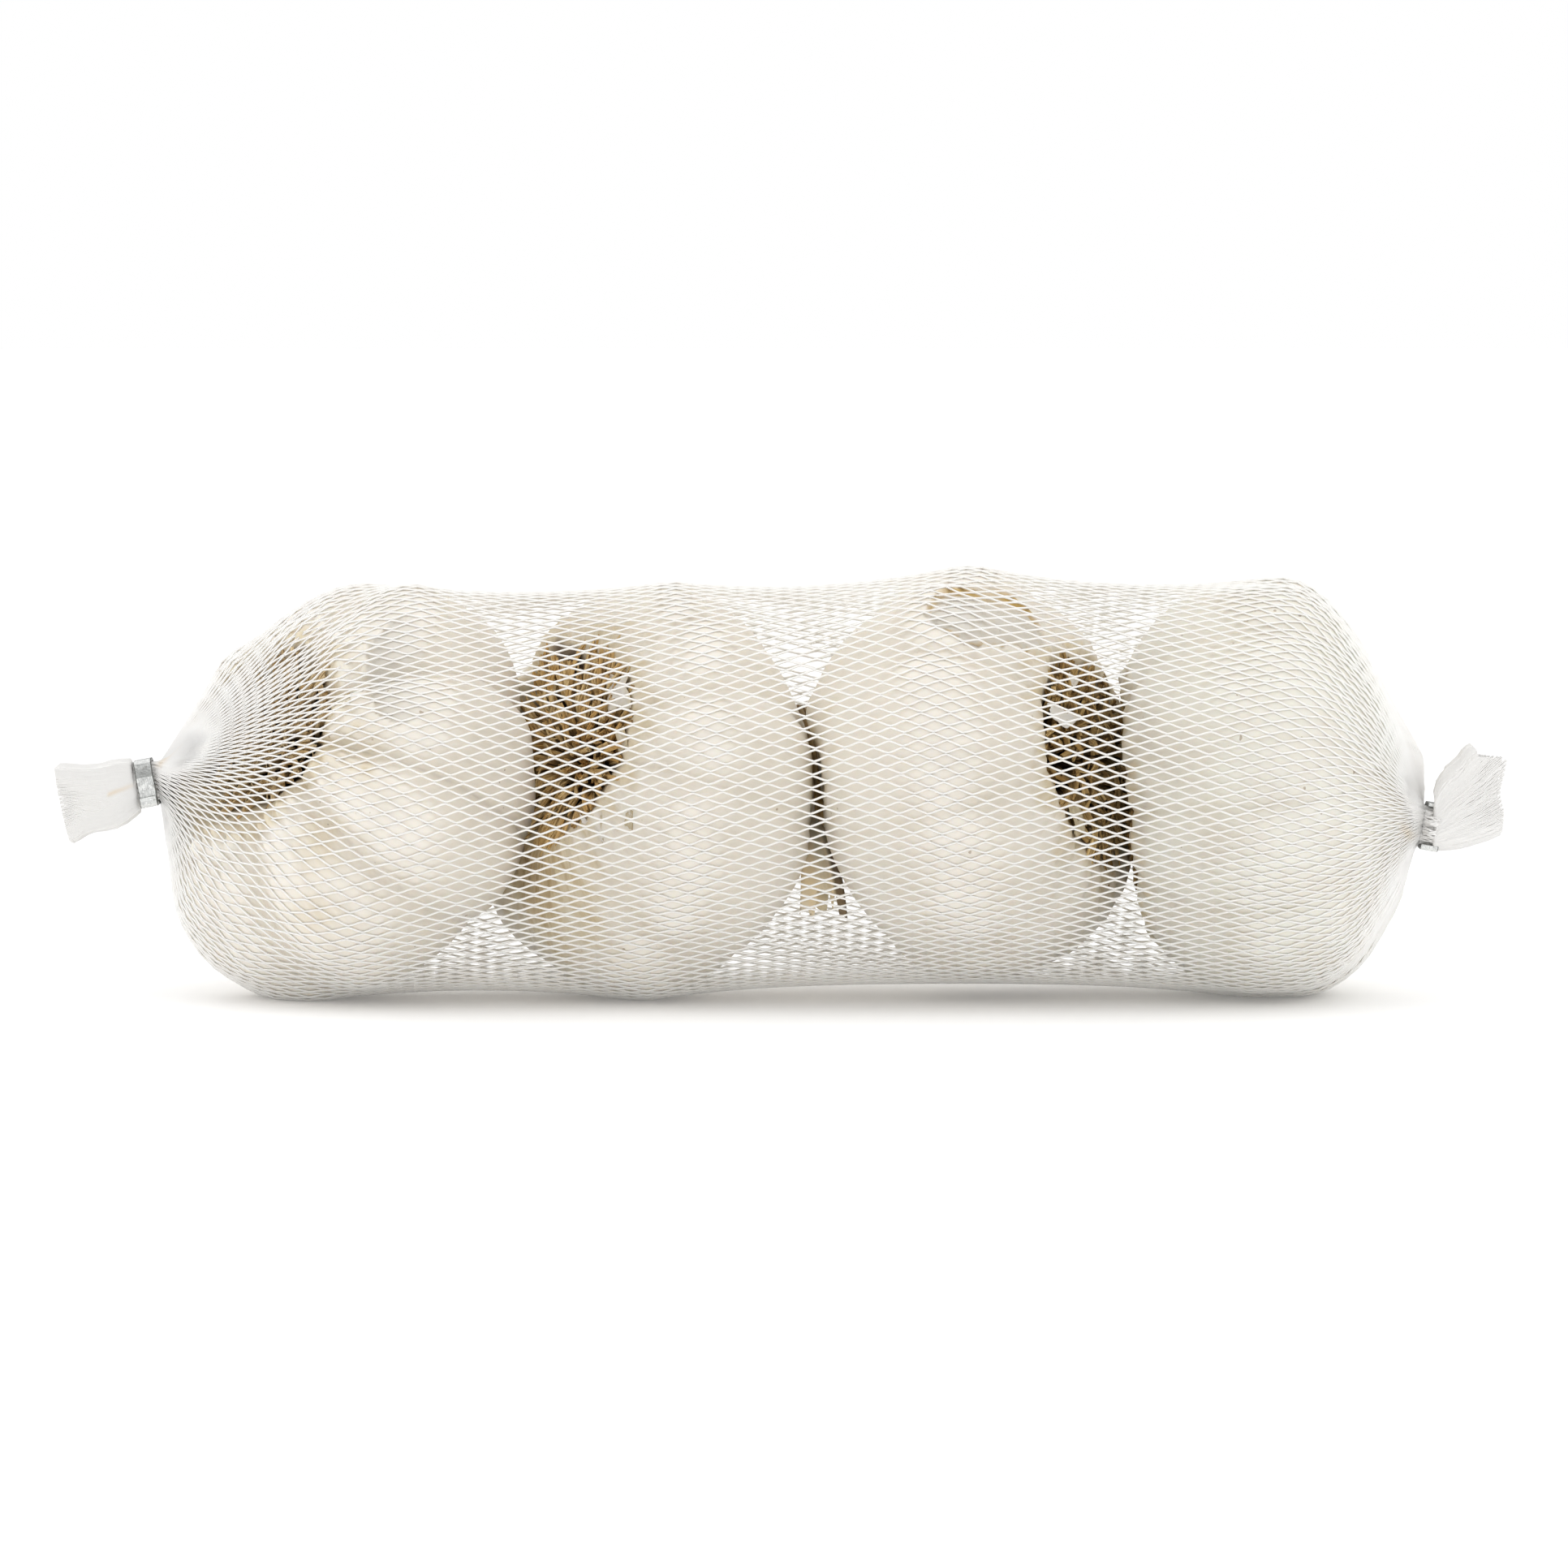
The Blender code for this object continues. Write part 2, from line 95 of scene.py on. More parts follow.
# %% Sizes of the four bulbs
# plate: way to the middle of the root plate, and plate_edge: angles from it where its pit starts and stops
# rising. belly, base and shoulder: half sizes round the middle, to the root and to the stem. Each swell has
# a way from the centre, a height in mm and a spread in radians.
Bulb = namedtuple(
    "Bulb", "name centre root plate plate_edge belly base shoulder neck cloves crease seed swells"
)
BULBS = (
    Bulb(
        "bulb_1", mm(-57.8, 0.0, 28.1), (-0.62, -0.62, 0.48), (-0.72, -0.53, 0.51), (0.49, 0.73),
        27.8 * MM, 17.5 * MM, 20.2 * MM, 2.0 * MM, 8, 0.085, 3,
        (
            ((-0.80, -0.10, -0.60), 1.0, 0.40), ((-0.62, 0.35, 0.70), 0.6, 0.30),
            ((0.25, 0.0, 1.0), 1.5, 0.30), ((-0.35, 0.0, -1.0), 2.0, 0.45),
            ((0.90, 0.0, 0.42), -2.1, 0.30), ((0.95, -0.27, 0.14), -1.6, 0.22),
            ((0.94, -0.26, -0.22), 0.9, 0.17),
        ),
    ),
    Bulb(
        "bulb_2", mm(-17.4, 0.5, 28.4), (-0.74, -0.58, 0.34), (-0.79, -0.50, 0.41), (0.58, 0.82),
        27.9 * MM, 17.0 * MM, 19.0 * MM, 2.0 * MM, 9, 0.045, 5,
        (
            ((0.90, 0.0, 0.30), -0.8, 0.40), ((0.75, 0.0, 0.70), -1.8, 0.35),
            ((0.0, 0.05, -1.0), 1.2, 0.45), ((0.94, -0.32, 0.05), -0.9, 0.30),
            ((0.84, -0.30, 0.46), -1.8, 0.28), ((0.74, -0.28, 0.60), -1.6, 0.24),
            ((0.75, 0.10, 0.66), -0.9, 0.25), ((0.90, -0.43, 0.10), -1.4, 0.26),
            ((-0.62, 0.0, 0.78), 2.3, 0.28), ((0.50, 0.0, 0.87), -4.8, 0.26),
        ),
    ),
    Bulb(
        "bulb_3", mm(24.9, 0.0, 30.0), (0.87, -0.42, 0.24), (0.92, -0.34, 0.20), (0.53, 0.76),
        27.8 * MM, 19.6 * MM, 20.5 * MM, 2.0 * MM, 9, 0.045, 8,
        (
            ((-0.75, 0.0, -0.66), -4.0, 0.45), ((-0.80, 0.0, 0.60), -2.2, 0.45),
            ((-0.95, -0.28, 0.0), -1.9, 0.34), ((-0.85, -0.50, 0.0), -1.6, 0.30),
            ((-0.99, 0.12, -0.02), -0.6, 0.30), ((-0.53, 0.0, 0.85), -4.3, 0.26),
            ((0.48, 0.0, 0.88), -2.2, 0.24), ((-0.84, -0.38, 0.40), 1.9, 0.15),
        ),
    ),
    Bulb(
        "bulb_4", mm(66.3, 0.5, 28.3), (-0.97, 0.10, -0.10), (-0.97, 0.10, -0.10), (0.50, 0.76),
        27.9 * MM, 21.1 * MM, 19.0 * MM, 1.5 * MM, 9, 0.035, 11,
        (
            ((0.75, 0.0, 0.70), -1.3, 0.40), ((0.95, 0.0, 0.25), 0.6, 0.30),
            ((0.0, 0.0, -1.0), 0.6, 0.45), ((0.82, -0.55, -0.15), 1.4, 0.25),
        ),
    ),
)
ROOT_PLATE_DEPTH = 5.0 * MM
STEM_SPREAD = 0.27  # radians that the cut stem takes up
STEM_HOLLOW = 1.3 * MM  # depth of the hollow in the cut stem
print("bulbs across in mm:", [round(2 * bulb.belly / MM, 1) for bulb in BULBS])


# %% Distance from a bulb's centre to its skin
def unit(vector):
    vector = np.asarray(vector, float)
    return vector / np.linalg.norm(vector)


def unit_rows(rows):
    return rows / np.linalg.norm(rows, axis=1)[:, None]


def angle_from(way, directions):
    return np.arccos(np.clip(directions @ unit(way), -1, 1))


def hill(value, width):
    """1 where the value is 0, and less to both sides."""
    return np.exp(-((value / width) ** 2))


def eased(value, low, high):
    """0 below low, 1 above high and a smooth step between them."""
    share = np.clip((value - low) / (high - low), 0.0, 1.0)
    return share * share * (3 - 2 * share)


def bulb_axes(bulb):
    """Two directions across the bulb, then the one from its root to its stem."""
    stem = -unit(bulb.root)
    across = unit(np.cross(stem, (0.0, 0.0, 1.0)))
    return np.stack([across, np.cross(stem, across), stem])


def clove_places(bulb, turn):
    """For each angle round the bulb: how far across its clove it is, from 0 to 1, and the clove's swell."""
    draw = np.random.default_rng(bulb.seed)
    widths = draw.uniform(0.7, 1.4, bulb.cloves)
    edges = np.concatenate([[0.0], np.cumsum(widths) / widths.sum()]) * TURN
    heights = draw.uniform(0.6, 1.25, bulb.cloves)
    clove = np.clip(np.searchsorted(edges, turn, side="right") - 1, 0, bulb.cloves - 1)
    across = (turn - edges[clove]) / (edges[clove + 1] - edges[clove])
    return across, heights[clove]


def polar(bulb, directions):
    """Cosine from the stem, sine from it, angle from it and angle round the bulb."""
    local = directions @ bulb_axes(bulb).T
    out = np.hypot(local[:, 0], local[:, 1])
    turn = np.arctan2(local[:, 1], local[:, 0]) % TURN
    return local[:, 2], out, np.arctan2(out, local[:, 2]), turn


def form_distance(bulb, directions, pit=ROOT_PLATE_DEPTH):
    """The main form, as in the part's source. pit is how deep the root plate lies."""
    rise, out, from_stem, turn = polar(bulb, directions)
    half = bulb.base + (bulb.shoulder - bulb.base) * eased(rise, -0.4, 0.4)
    power = 2.5 - 0.45 * eased(rise, -0.2, 0.6)
    distance = ((out / bulb.belly) ** power + (np.abs(rise) / half) ** power) ** (-1 / power)
    distance += bulb.neck * hill(from_stem, STEM_SPREAD)
    across, height = clove_places(bulb, turn)
    arch = 1 - np.abs(2 * across - 1) ** 2.2
    fade = (1 - 0.9 * eased(rise, 0.1, 0.85)) * eased(out, 0.15, 0.5)
    distance *= 1 + bulb.crease * height * (arch - 0.65) * fade
    distance -= pit * (1 - eased(angle_from(bulb.plate, directions), *bulb.plate_edge))
    for way, height, spread in bulb.swells:
        distance += height * MM * hill(angle_from(way, directions), spread)
    return distance


# %% [markdown]
# ## Relief of the skin
# The dry skin is thin and papery. It has fine ribs from root to stem, shallow waves, a line pressed in
# between cloves, and places where an outer layer has torn away and a smoother one shows. All of this is
# added to the distance, so it is real shape and not only a picture of it.

# %% Ripples, ribs and tears
# A tear runs from start to end. soft: +1 or -1 for a side of it without a step, or else 0.
Tear = namedtuple("Tear", "start end half_width depth ochre soft")
TEARS = {
    "bulb_1": (
        Tear((0.26, -0.34, 0.90), (0.30, -0.86, 0.42), 0.20, 0.35 * MM, 0.2, 1),
        Tear((-0.30, 0.80, 0.52), (0.42, 0.88, 0.20), 0.20, 0.35 * MM, 0.5, 0),
    ),
    "bulb_2": (
        Tear((0.10, 0.62, 0.78), (0.62, 0.76, 0.20), 0.22, 0.4 * MM, 0.6, 0),
    ),
    "bulb_3": (
        Tear((-0.20, -0.56, 0.80), (0.44, -0.34, 0.83), 0.24, 0.7 * MM, 1.0, 0),
        Tear((-0.20, 0.93, -0.30), (0.45, 0.86, -0.24), 0.18, 0.4 * MM, 0.5, 0),
    ),
    "bulb_4": (
        Tear((-0.30, 0.80, 0.52), (0.36, 0.84, 0.40), 0.16, 0.35 * MM, 0.5, 0),
    ),
}
RIB_COUNTS = (23, 31, 38, 47, 59, 71, 83)  # ribs round the bulb, one wave of each
RIB_HEIGHT = 0.045 * MM
WAVE_LENGTHS = mm(9, 12, 14, 17, 21)
WAVE_HEIGHT = 0.22 * MM
CREASE_LINE = {"bulb_1": 0.16 * MM, "bulb_2": 0.05 * MM, "bulb_3": 0.05 * MM, "bulb_4": 0.05 * MM}
RIM_LENGTHS = mm(1.9, 2.3, 2.9, 4.3)
RIM_HEIGHT = 0.30 * MM  # of the tatters round a root plate
TEAR_LIP = 0.12 * MM  # height of the curled edge of a tear
LEAST_HEIGHT = 0.36 * MM  # above the floor, for the threads underneath


def ripples(points, lengths, seed):
    """An unevenness from about -1 to 1: waves of the given lengths in seeded directions."""
    draw = np.random.default_rng(seed)
    total = np.zeros(len(points))
    for length in lengths:
        way = unit(draw.normal(size=3)) * TURN / length
        total += np.sin(points @ way + draw.uniform(0, TURN))
    return total * math.sqrt(2 / len(lengths)) / 1.6


def tear_place(tear, directions):
    """0 on the middle line of a leaf-shaped tear, 1 on its edge, more outside; and the side of the line."""
    start, end = unit(tear.start), unit(tear.end)
    middle, along = unit(start + end), unit(end - start)
    far = directions @ along / (np.linalg.norm(end - start) / 2)
    side = directions @ np.cross(middle, along) / math.sin(tear.half_width)
    wobble = 0.10 * np.sin(5.3 * far + 1.1) + 0.06 * np.sin(13 * far) + 0.03 * np.sin(31 * far)
    open_here = np.clip(1 - far**2, 1e-4, 1) ** 0.6
    place = np.abs(side) / open_here + wobble
    return np.where((np.abs(far) < 1) & (directions @ middle > 0), place, 9.0), side


def ribs(bulb, turn):
    draw = np.random.default_rng(bulb.seed + 100)
    phases = draw.uniform(0, TURN, len(RIB_COUNTS))
    return sum(np.sin(count * turn + phase) for count, phase in zip(RIB_COUNTS, phases)) / 2.6


def skin_distance(bulb, directions, pit=ROOT_PLATE_DEPTH):
    rise, out, from_stem, turn = polar(bulb, directions)
    past_plate = angle_from(bulb.plate, directions) - bulb.plate_edge[1]
    distance = form_distance(bulb, directions, pit)
    points = directions * bulb.belly
    waist = eased(out, 0.2, 0.75)
    distance += WAVE_HEIGHT * ripples(points, WAVE_LENGTHS, bulb.seed + 200) * waist
    distance += RIB_HEIGHT * ribs(bulb, turn) * waist * (1 + ripples(points, mm(7, 11), bulb.seed))
    across, _ = clove_places(bulb, turn)
    edge = np.minimum(across, 1 - across)
    distance -= CREASE_LINE[bulb.name] * hill(edge, 0.07) * waist * eased(-rise, -0.5, 0.4)
    rim = eased(past_plate, -0.20, -0.02) * (1 - eased(past_plate, 0.06, 0.35))
    distance += RIM_HEIGHT * rim * ripples(points, RIM_LENGTHS, bulb.seed + 300)
    for tear in TEARS[bulb.name]:
        place, side = tear_place(tear, directions)
        stepped = eased(-tear.soft * side, -0.6, 0.2) if tear.soft else 1.0
        sunk = tear.depth * (1 - eased(place, 0.93, 1.0)) * (0.45 + 0.55 * place.clip(0, 1) ** 2)
        distance -= sunk * stepped
        distance += TEAR_LIP * hill(place - 1.04, 0.06) * stepped
    distance -= STEM_HOLLOW * (1 - eased(from_stem, 0.05, 0.11)) * (1 + 0.3 * np.sin(5 * turn))
    down = np.clip(-directions[:, 2], 1e-6, None)
    return np.minimum(distance, (bulb.centre[2] - LEAST_HEIGHT) / down)


print("tears:", sum(len(tears) for tears in TEARS.values()))


# %% [markdown]
# ## Modelling a bulb
# A sphere from the Add menu has its poles on Z, so it is first turned to the bulb's own axis and then each
# point is moved out to the skin. The stained, torn and sunken places, and the painted shade in creases and
# where bulbs meet, are kept as values on the points, for the material to read, and so is a direction of
# grain that runs from root to stem without a seam.

# %% Picking, adding and reading objects
def deselect():
    if bpy.context.object and bpy.context.object.mode != "OBJECT":
        bpy.ops.object.mode_set(mode="OBJECT")
    bpy.ops.object.select_all(action="DESELECT")


def added(name):
    """The object that an add operator has just made, under its own name."""
    made = bpy.context.object
    made.name = made.data.name = name
    return made


def pick(piece):
    """Selects this piece and no other."""
    deselect()
    piece.select_set(True)
    bpy.context.view_layer.objects.active = piece


def placed(name, data):
    """An object for data that no operator makes, put in the scene."""
    made = bpy.data.objects.new(name, data)
    bpy.context.scene.collection.objects.link(made)
    return made


def places(piece):
    found = np.empty(len(piece.data.vertices) * 3)
    piece.data.vertices.foreach_get("co", found)
    return found.reshape(-1, 3)


def set_places(piece, points):
    piece.data.vertices.foreach_set("co", np.asarray(points, np.float32).ravel())
    piece.data.update()


def set_values(piece, name, values, kind="FLOAT"):
    layer = piece.data.attributes.new(name, kind, "POINT")
    layer.data.foreach_set("value" if kind == "FLOAT" else "vector", np.asarray(values, np.float32).ravel())


# %% Stained, dark, grey and ochre places, partly painted shade
PATCHES = {  # stains and painted shade away from the root: way, spread and amount. Above 1 it is dark brown as well, mostly painted shade
    "bulb_1": (
        ((-0.14, -0.97, -0.20), 0.14, 0.35), ((-0.14, -0.83, -0.53), 0.12, 0.30),
        ((-0.02, -0.94, 0.34), 0.22, 0.26), ((0.12, -0.97, 0.20), 0.05, 0.55),
        ((0.07, -0.89, 0.45), 0.05, 0.45), ((0.04, -0.97, 0.22), 0.04, 0.5),
    ),
    "bulb_2": (
        # the stain low on the left is partly painted shade; the dark one beside bulb 1, the dark one in the
        # slit towards bulb 3 and the tan one beside that slit are painted shade
        ((-0.72, -0.54, -0.46), 0.38, 1.22), ((-0.96, -0.25, 0.10), 0.30, 1.8),
        ((0.90, -0.25, -0.38), 0.22, 0.45), ((0.97, 0.22, 0.02), 0.24, 1.7),
        ((0.92, -0.34, 0.12), 0.20, 0.90),
    ),
    "bulb_3": (
        # the tan on the lower right lobe, towards bulb 4, is partly painted shade; the dark one in the slit
        # towards bulb 2 and the tan one beside it are painted shade
        ((0.82, -0.28, -0.50), 0.30, 0.30), ((-0.97, 0.22, -0.05), 0.22, 1.7),
        ((-0.90, -0.40, 0.10), 0.22, 0.90),
    ),
    "bulb_4": (((0.74, -0.66, 0.08), 0.22, 0.25),),
}


def skin_values(bulb, directions):
    """How stained, how dark, how grey and how ochre the skin is, each from 0 to 1; partly painted shade."""
    rise, out, from_stem, turn = polar(bulb, directions)
    past_plate = angle_from(bulb.plate, directions) - bulb.plate_edge[1]
    points = directions * bulb.belly
    patchy = ripples(points, mm(3, 4, 6, 9), bulb.seed + 400)
    near_plate = 1 - eased(past_plate + 0.08 * patchy, -0.05, 0.14)
    stain = 0.5 * near_plate + 0.5 * (1 - eased(from_stem, 0.2, 0.5))
    dark = 1 - eased(past_plate + 0.05 * patchy, -0.20, -0.07)
    for way, spread, most in PATCHES[bulb.name]:
        amount = most * hill(angle_from(way, directions) * (1 + 0.25 * patchy), spread)
        stain = np.maximum(stain, amount)
        dark = np.maximum(dark, amount - 1)
    across, _ = clove_places(bulb, turn)
    edge = np.minimum(across, 1 - across)
    # painted shade along the creases between cloves: a little greyer and more stained there
    line = hill(edge, 0.045) * eased(out, 0.3, 0.7) * eased(-rise, -0.5, 0.3)
    grey = 0.12 * line
    stain = stain + 0.08 * line
    ochre = np.zeros(len(directions))
    for tear in TEARS[bulb.name]:
        place, side = tear_place(tear, directions)
        stepped = eased(-tear.soft * side, -1.0, 0.6) if tear.soft else 1.0
        grey = grey + 0.8 * (1 - eased(place, 0.9, 1.0)) * stepped
        width = np.where(side > 0, 0.17, 0.05) if not tear.soft else 0.04
        edge_line = hill(place - 0.93, width) * (0.85 + 0.5 * patchy) * stepped
        ochre = ochre + tear.ochre * edge_line.clip(0, 1)
        dark_line = hill(place - 1.0, 0.022) * eased(patchy, -0.3, 0.4)
        dark = dark + 0.7 * tear.ochre * dark_line * stepped
    return [value.clip(0, 1) for value in (stain, dark, grey, ochre)]


# %% Sphere to bulb
BULB_SEGMENTS = 320
BULB_RINGS = 160


def model_bulb(bulb):
    deselect()
    bpy.ops.mesh.primitive_uv_sphere_add(segments=BULB_SEGMENTS, ring_count=BULB_RINGS, radius=1)
    piece = added(bulb.name)
    directions = unit_rows(places(piece) @ bulb_axes(bulb))
    skin = directions * skin_distance(bulb, directions)[:, None]
    set_places(piece, skin + bulb.centre - shift)
    rise, out, from_stem, turn = polar(bulb, directions)
    for name, values in zip(("stain", "dark", "grey", "ochre"), skin_values(bulb, directions)):
        set_values(piece, name, values)
    grain = np.stack([np.cos(turn), np.sin(turn), 0.12 * from_stem], 1) * bulb.belly
    set_values(piece, "grain", grain, "FLOAT_VECTOR")
    bpy.ops.object.shade_smooth()
    return piece


bulbs = [model_bulb(bulb) for bulb in BULBS]
print("bulbs:", {piece.name: len(piece.data.polygons) for piece in bulbs})

# %% [markdown]
# ## Material helpers
# Every finish here is a small tree of nodes on a Principled BSDF. Fibres that run one way are on the skin,
# the roots and the stems, so they are one node group: stretched noise, with a mask and a height.

# %% Node helpers
def add_node(tree, kind, inputs=None, **settings):
    """A node with its settings. An input is a value, or a socket to link from."""
    made = tree.nodes.new(kind)
    for name, value in settings.items():  # first, because a node's inputs depend on them
        setattr(made, name, value)
    for name, value in (inputs or {}).items():
        if isinstance(value, bpy.types.NodeSocket):
            tree.links.new(value, made.inputs[name])
        else:
            made.inputs[name].default_value = value
    return made


def mixed(tree, share, first, second):
    """Two colours, the second by share."""
    mix = add_node(tree, "ShaderNodeMix", data_type="RGBA")
    for place, value in ((0, share), (6, first), (7, second)):
        if isinstance(value, bpy.types.NodeSocket):
            tree.links.new(value, mix.inputs[place])
        else:
            mix.inputs[place].default_value = value if place == 0 else (*value, 1)
    return mix.outputs[2]


def layered(tree, colour, *layers):
    """Lays each colour over the last, by its share."""
    for share, paint in layers:
        colour = mixed(tree, share, colour, paint)
    return colour


def ranged(tree, value, low, high, start=0.0, end=1.0):
    """Maps low..high to start..end, held at both ends."""
    inputs = {"Value": value, "From Min": low, "From Max": high, "To Min": start, "To Max": end}
    return add_node(tree, "ShaderNodeMapRange", inputs).outputs["Result"]


def math_node(tree, operation, *values, clamp=False):
    inputs = dict(enumerate(values))
    return add_node(tree, "ShaderNodeMath", inputs, operation=operation, use_clamp=clamp).outputs[0]


def product(tree, first, second):
    return math_node(tree, "MULTIPLY", first, second, clamp=True)


def object_place(tree):
    return add_node(tree, "ShaderNodeTexCoord").outputs["Object"]


def noise(tree, place, scale, detail):
    inputs = {"Vector": place, "Scale": scale, "Detail": detail}
    return add_node(tree, "ShaderNodeTexNoise", inputs).outputs["Fac"]


# %% Fibre group
def fibre_group():
    group = bpy.data.node_groups.new("fibres_one_way", "ShaderNodeTree")
    group.interface.new_socket("Grain", in_out="INPUT", socket_type="NodeSocketVector")
    fineness = group.interface.new_socket("Fineness", in_out="INPUT", socket_type="NodeSocketFloat")
    fineness.default_value = 1500
    group.interface.new_socket("Mask", in_out="OUTPUT", socket_type="NodeSocketFloat")
    group.interface.new_socket("Height", in_out="OUTPUT", socket_type="NodeSocketFloat")
    start = group.nodes.new("NodeGroupInput")
    end = group.nodes.new("NodeGroupOutput")
    inputs = {"Vector": start.outputs["Grain"], "Scale": start.outputs["Fineness"]}
    inputs.update({"Detail": 4.0, "Roughness": 0.65})
    height = add_node(group, "ShaderNodeTexNoise", inputs).outputs["Fac"]
    group.links.new(ranged(group, height, 0.35, 0.65), end.inputs["Mask"])
    group.links.new(height, end.inputs["Height"])
    return group


fibres = fibre_group()
print("group:", fibres.name)


# %% Materials from those helpers
def fibres_along(tree, fineness):
    """The mask and the height of the fibres, along the grain that is kept on the points."""
    grain = add_node(tree, "ShaderNodeAttribute", attribute_name="grain").outputs["Vector"]
    made = add_node(tree, "ShaderNodeGroup", {"Grain": grain, "Fineness": fineness}, node_tree=fibres)
    return made.outputs["Mask"], made.outputs["Height"]


def new_material(name, roughness):
    """A material, its tree and its Principled BSDF."""
    material = bpy.data.materials.new(name)
    material.use_nodes = True
    shader = material.node_tree.nodes["Principled BSDF"]
    shader.inputs["Roughness"].default_value = roughness
    return material, material.node_tree, shader


def value_of(tree, name):
    return add_node(tree, "ShaderNodeAttribute", attribute_name=name).outputs["Fac"]


def bumped(tree, shader, height, distance, strength):
    inputs = {"Height": height, "Distance": distance, "Strength": strength}
    bump = add_node(tree, "ShaderNodeBump", inputs)
    tree.links.new(bump.outputs["Normal"], shader.inputs["Normal"])


# %% [markdown]
# ## Skin of the bulbs
# The skin is creamy white, greyer in patches and along its fibres, straw coloured round the roots and
# dark brown down on the root plate. Painted shade darkens it along the creases between cloves and where the
# bulbs meet: tan beside the slits and near-black in them. Light goes a little way into it, which softens the
# shadows of the net.

# %% Garlic skin
CREAM = (0.88, 0.83, 0.745)
SHADED_CREAM = (0.79, 0.74, 0.65)
GREEN_CREAM = (0.86, 0.835, 0.75)
STRAW = (0.70, 0.60, 0.42)
TAN = (0.48, 0.34, 0.165)
GREY_SKIN_AND_SHADE = (0.62, 0.585, 0.52)
OCHRE = (0.60, 0.40, 0.12)
DARK_ROOT_AND_SHADE = (0.075, 0.040, 0.018)
SPECK = (0.30, 0.20, 0.11)


def garlic_skin(name, cream):
    material, tree, shader = new_material(name, 0.48)
    fibre_mask, fibre_height = fibres_along(tree, 900)
    place = object_place(tree)
    patches = noise(tree, place, 130.0, 5.0)
    specks = noise(tree, place, 900.0, 1.0)
    fibre_shade = ranged(tree, fibre_mask, 0, 1, 0.25, 1.0)
    stain = product(tree, value_of(tree, "stain"), ranged(tree, fibre_mask, 0, 1, 0.6, 1.0))
    # stain, grey and dark carry painted shade besides the skin's own colours: tan and grey in creases and
    # beside the slits between bulbs, near-black in the slits
    colour = layered(
        tree, cream,
        (product(tree, fibre_shade, ranged(tree, patches, 0.40, 0.66)), SHADED_CREAM),
        (product(tree, value_of(tree, "grey"), 0.8), GREY_SKIN_AND_SHADE),
        (ranged(tree, stain, 0.0, 0.5), STRAW),
        (ranged(tree, stain, 0.45, 1.0), TAN),
        (value_of(tree, "ochre"), OCHRE),
        (value_of(tree, "dark"), DARK_ROOT_AND_SHADE),
        (ranged(tree, specks, 0.77, 0.80, 0.0, 0.6), SPECK),
    )
    tree.links.new(colour, shader.inputs["Base Color"])
    tree.links.new(ranged(tree, patches, 0.3, 0.7, 0.42, 0.58), shader.inputs["Roughness"])
    shader.inputs["Subsurface Weight"].default_value = 0.25
    shader.inputs["Subsurface Radius"].default_value = (1.0, 0.75, 0.45)
    shader.inputs["Subsurface Scale"].default_value = 1.2 * MM
    bumped(tree, shader, fibre_height, 0.10 * MM, 0.5)
    return material


skin = garlic_skin("garlic_skin", CREAM)
green_skin = garlic_skin("garlic_skin_greenish", GREEN_CREAM)
for piece in bulbs:
    piece.data.materials.append(green_skin if piece.name == "bulb_4" else skin)
print("skins:", skin.name, green_skin.name)

# %% [markdown]
# ## Roots
# The roots were cut short when the bulb was cleaned. What is left is a brush of dry, straw brown stubs,
# each a few millimetres long, bent and frayed, with a hollow in its cut end. One stub is modelled from a
# cylinder, and each tuft is a few hundred bent copies of it joined in one mesh.

# %% One stub
STUB_SIDES = 6
STUB_CUTS = 4


def cut_tube(name, sides, cuts, ends):
    """A tube of radius 1 from z = 0 to 1, cut across at equal steps. Left in edit mode."""
    deselect()
    bpy.ops.mesh.primitive_cylinder_add(
        vertices=sides, radius=1, depth=1, location=(0, 0, 0.5), end_fill_type=ends
    )
    tube = added(name)
    bpy.ops.object.transform_apply(location=True)
    bpy.ops.object.mode_set(mode="EDIT")
    bpy.ops.mesh.select_mode(type="EDGE")
    bpy.ops.mesh.select_all(action="DESELECT")
    bpy.ops.object.mode_set(mode="OBJECT")
    for edge in tube.data.edges:
        first, second = (tube.data.vertices[v].co for v in edge.vertices)
        edge.select = abs(first.z - second.z) > 0.5
    bpy.ops.object.mode_set(mode="EDIT")
    bpy.ops.mesh.subdivide(number_cuts=cuts)
    bpy.ops.mesh.select_all(action="DESELECT")
    return tube


def stub_template(name, sides, cuts, inset, dent):
    """A cut tube, open below, its top sunk inside a rim."""
    template = cut_tube(name, sides, cuts, "NGON")
    bpy.ops.mesh.select_mode(type="FACE")
    bpy.ops.object.mode_set(mode="OBJECT")
    for face in template.data.polygons:
        face.select = face.center.z > 0.99
    bpy.ops.object.mode_set(mode="EDIT")
    bpy.ops.mesh.inset(thickness=inset)
    bpy.ops.transform.translate(value=(0, 0, -dent))
    bpy.ops.mesh.select_all(action="DESELECT")
    bpy.ops.object.mode_set(mode="OBJECT")
    for face in template.data.polygons:
        face.select = face.center.z < 0.01
    bpy.ops.object.mode_set(mode="EDIT")
    bpy.ops.mesh.delete(type="FACE")
    bpy.ops.object.mode_set(mode="OBJECT")
    return template


stub = stub_template("root_stub", STUB_SIDES, STUB_CUTS, 0.35, 0.10)
print("stub faces:", len(stub.data.polygons))


# %% Copies bent along curves and joined
def shape_of(template):
    faces = [tuple(face.vertices) for face in template.data.polygons]
    return places(template), faces


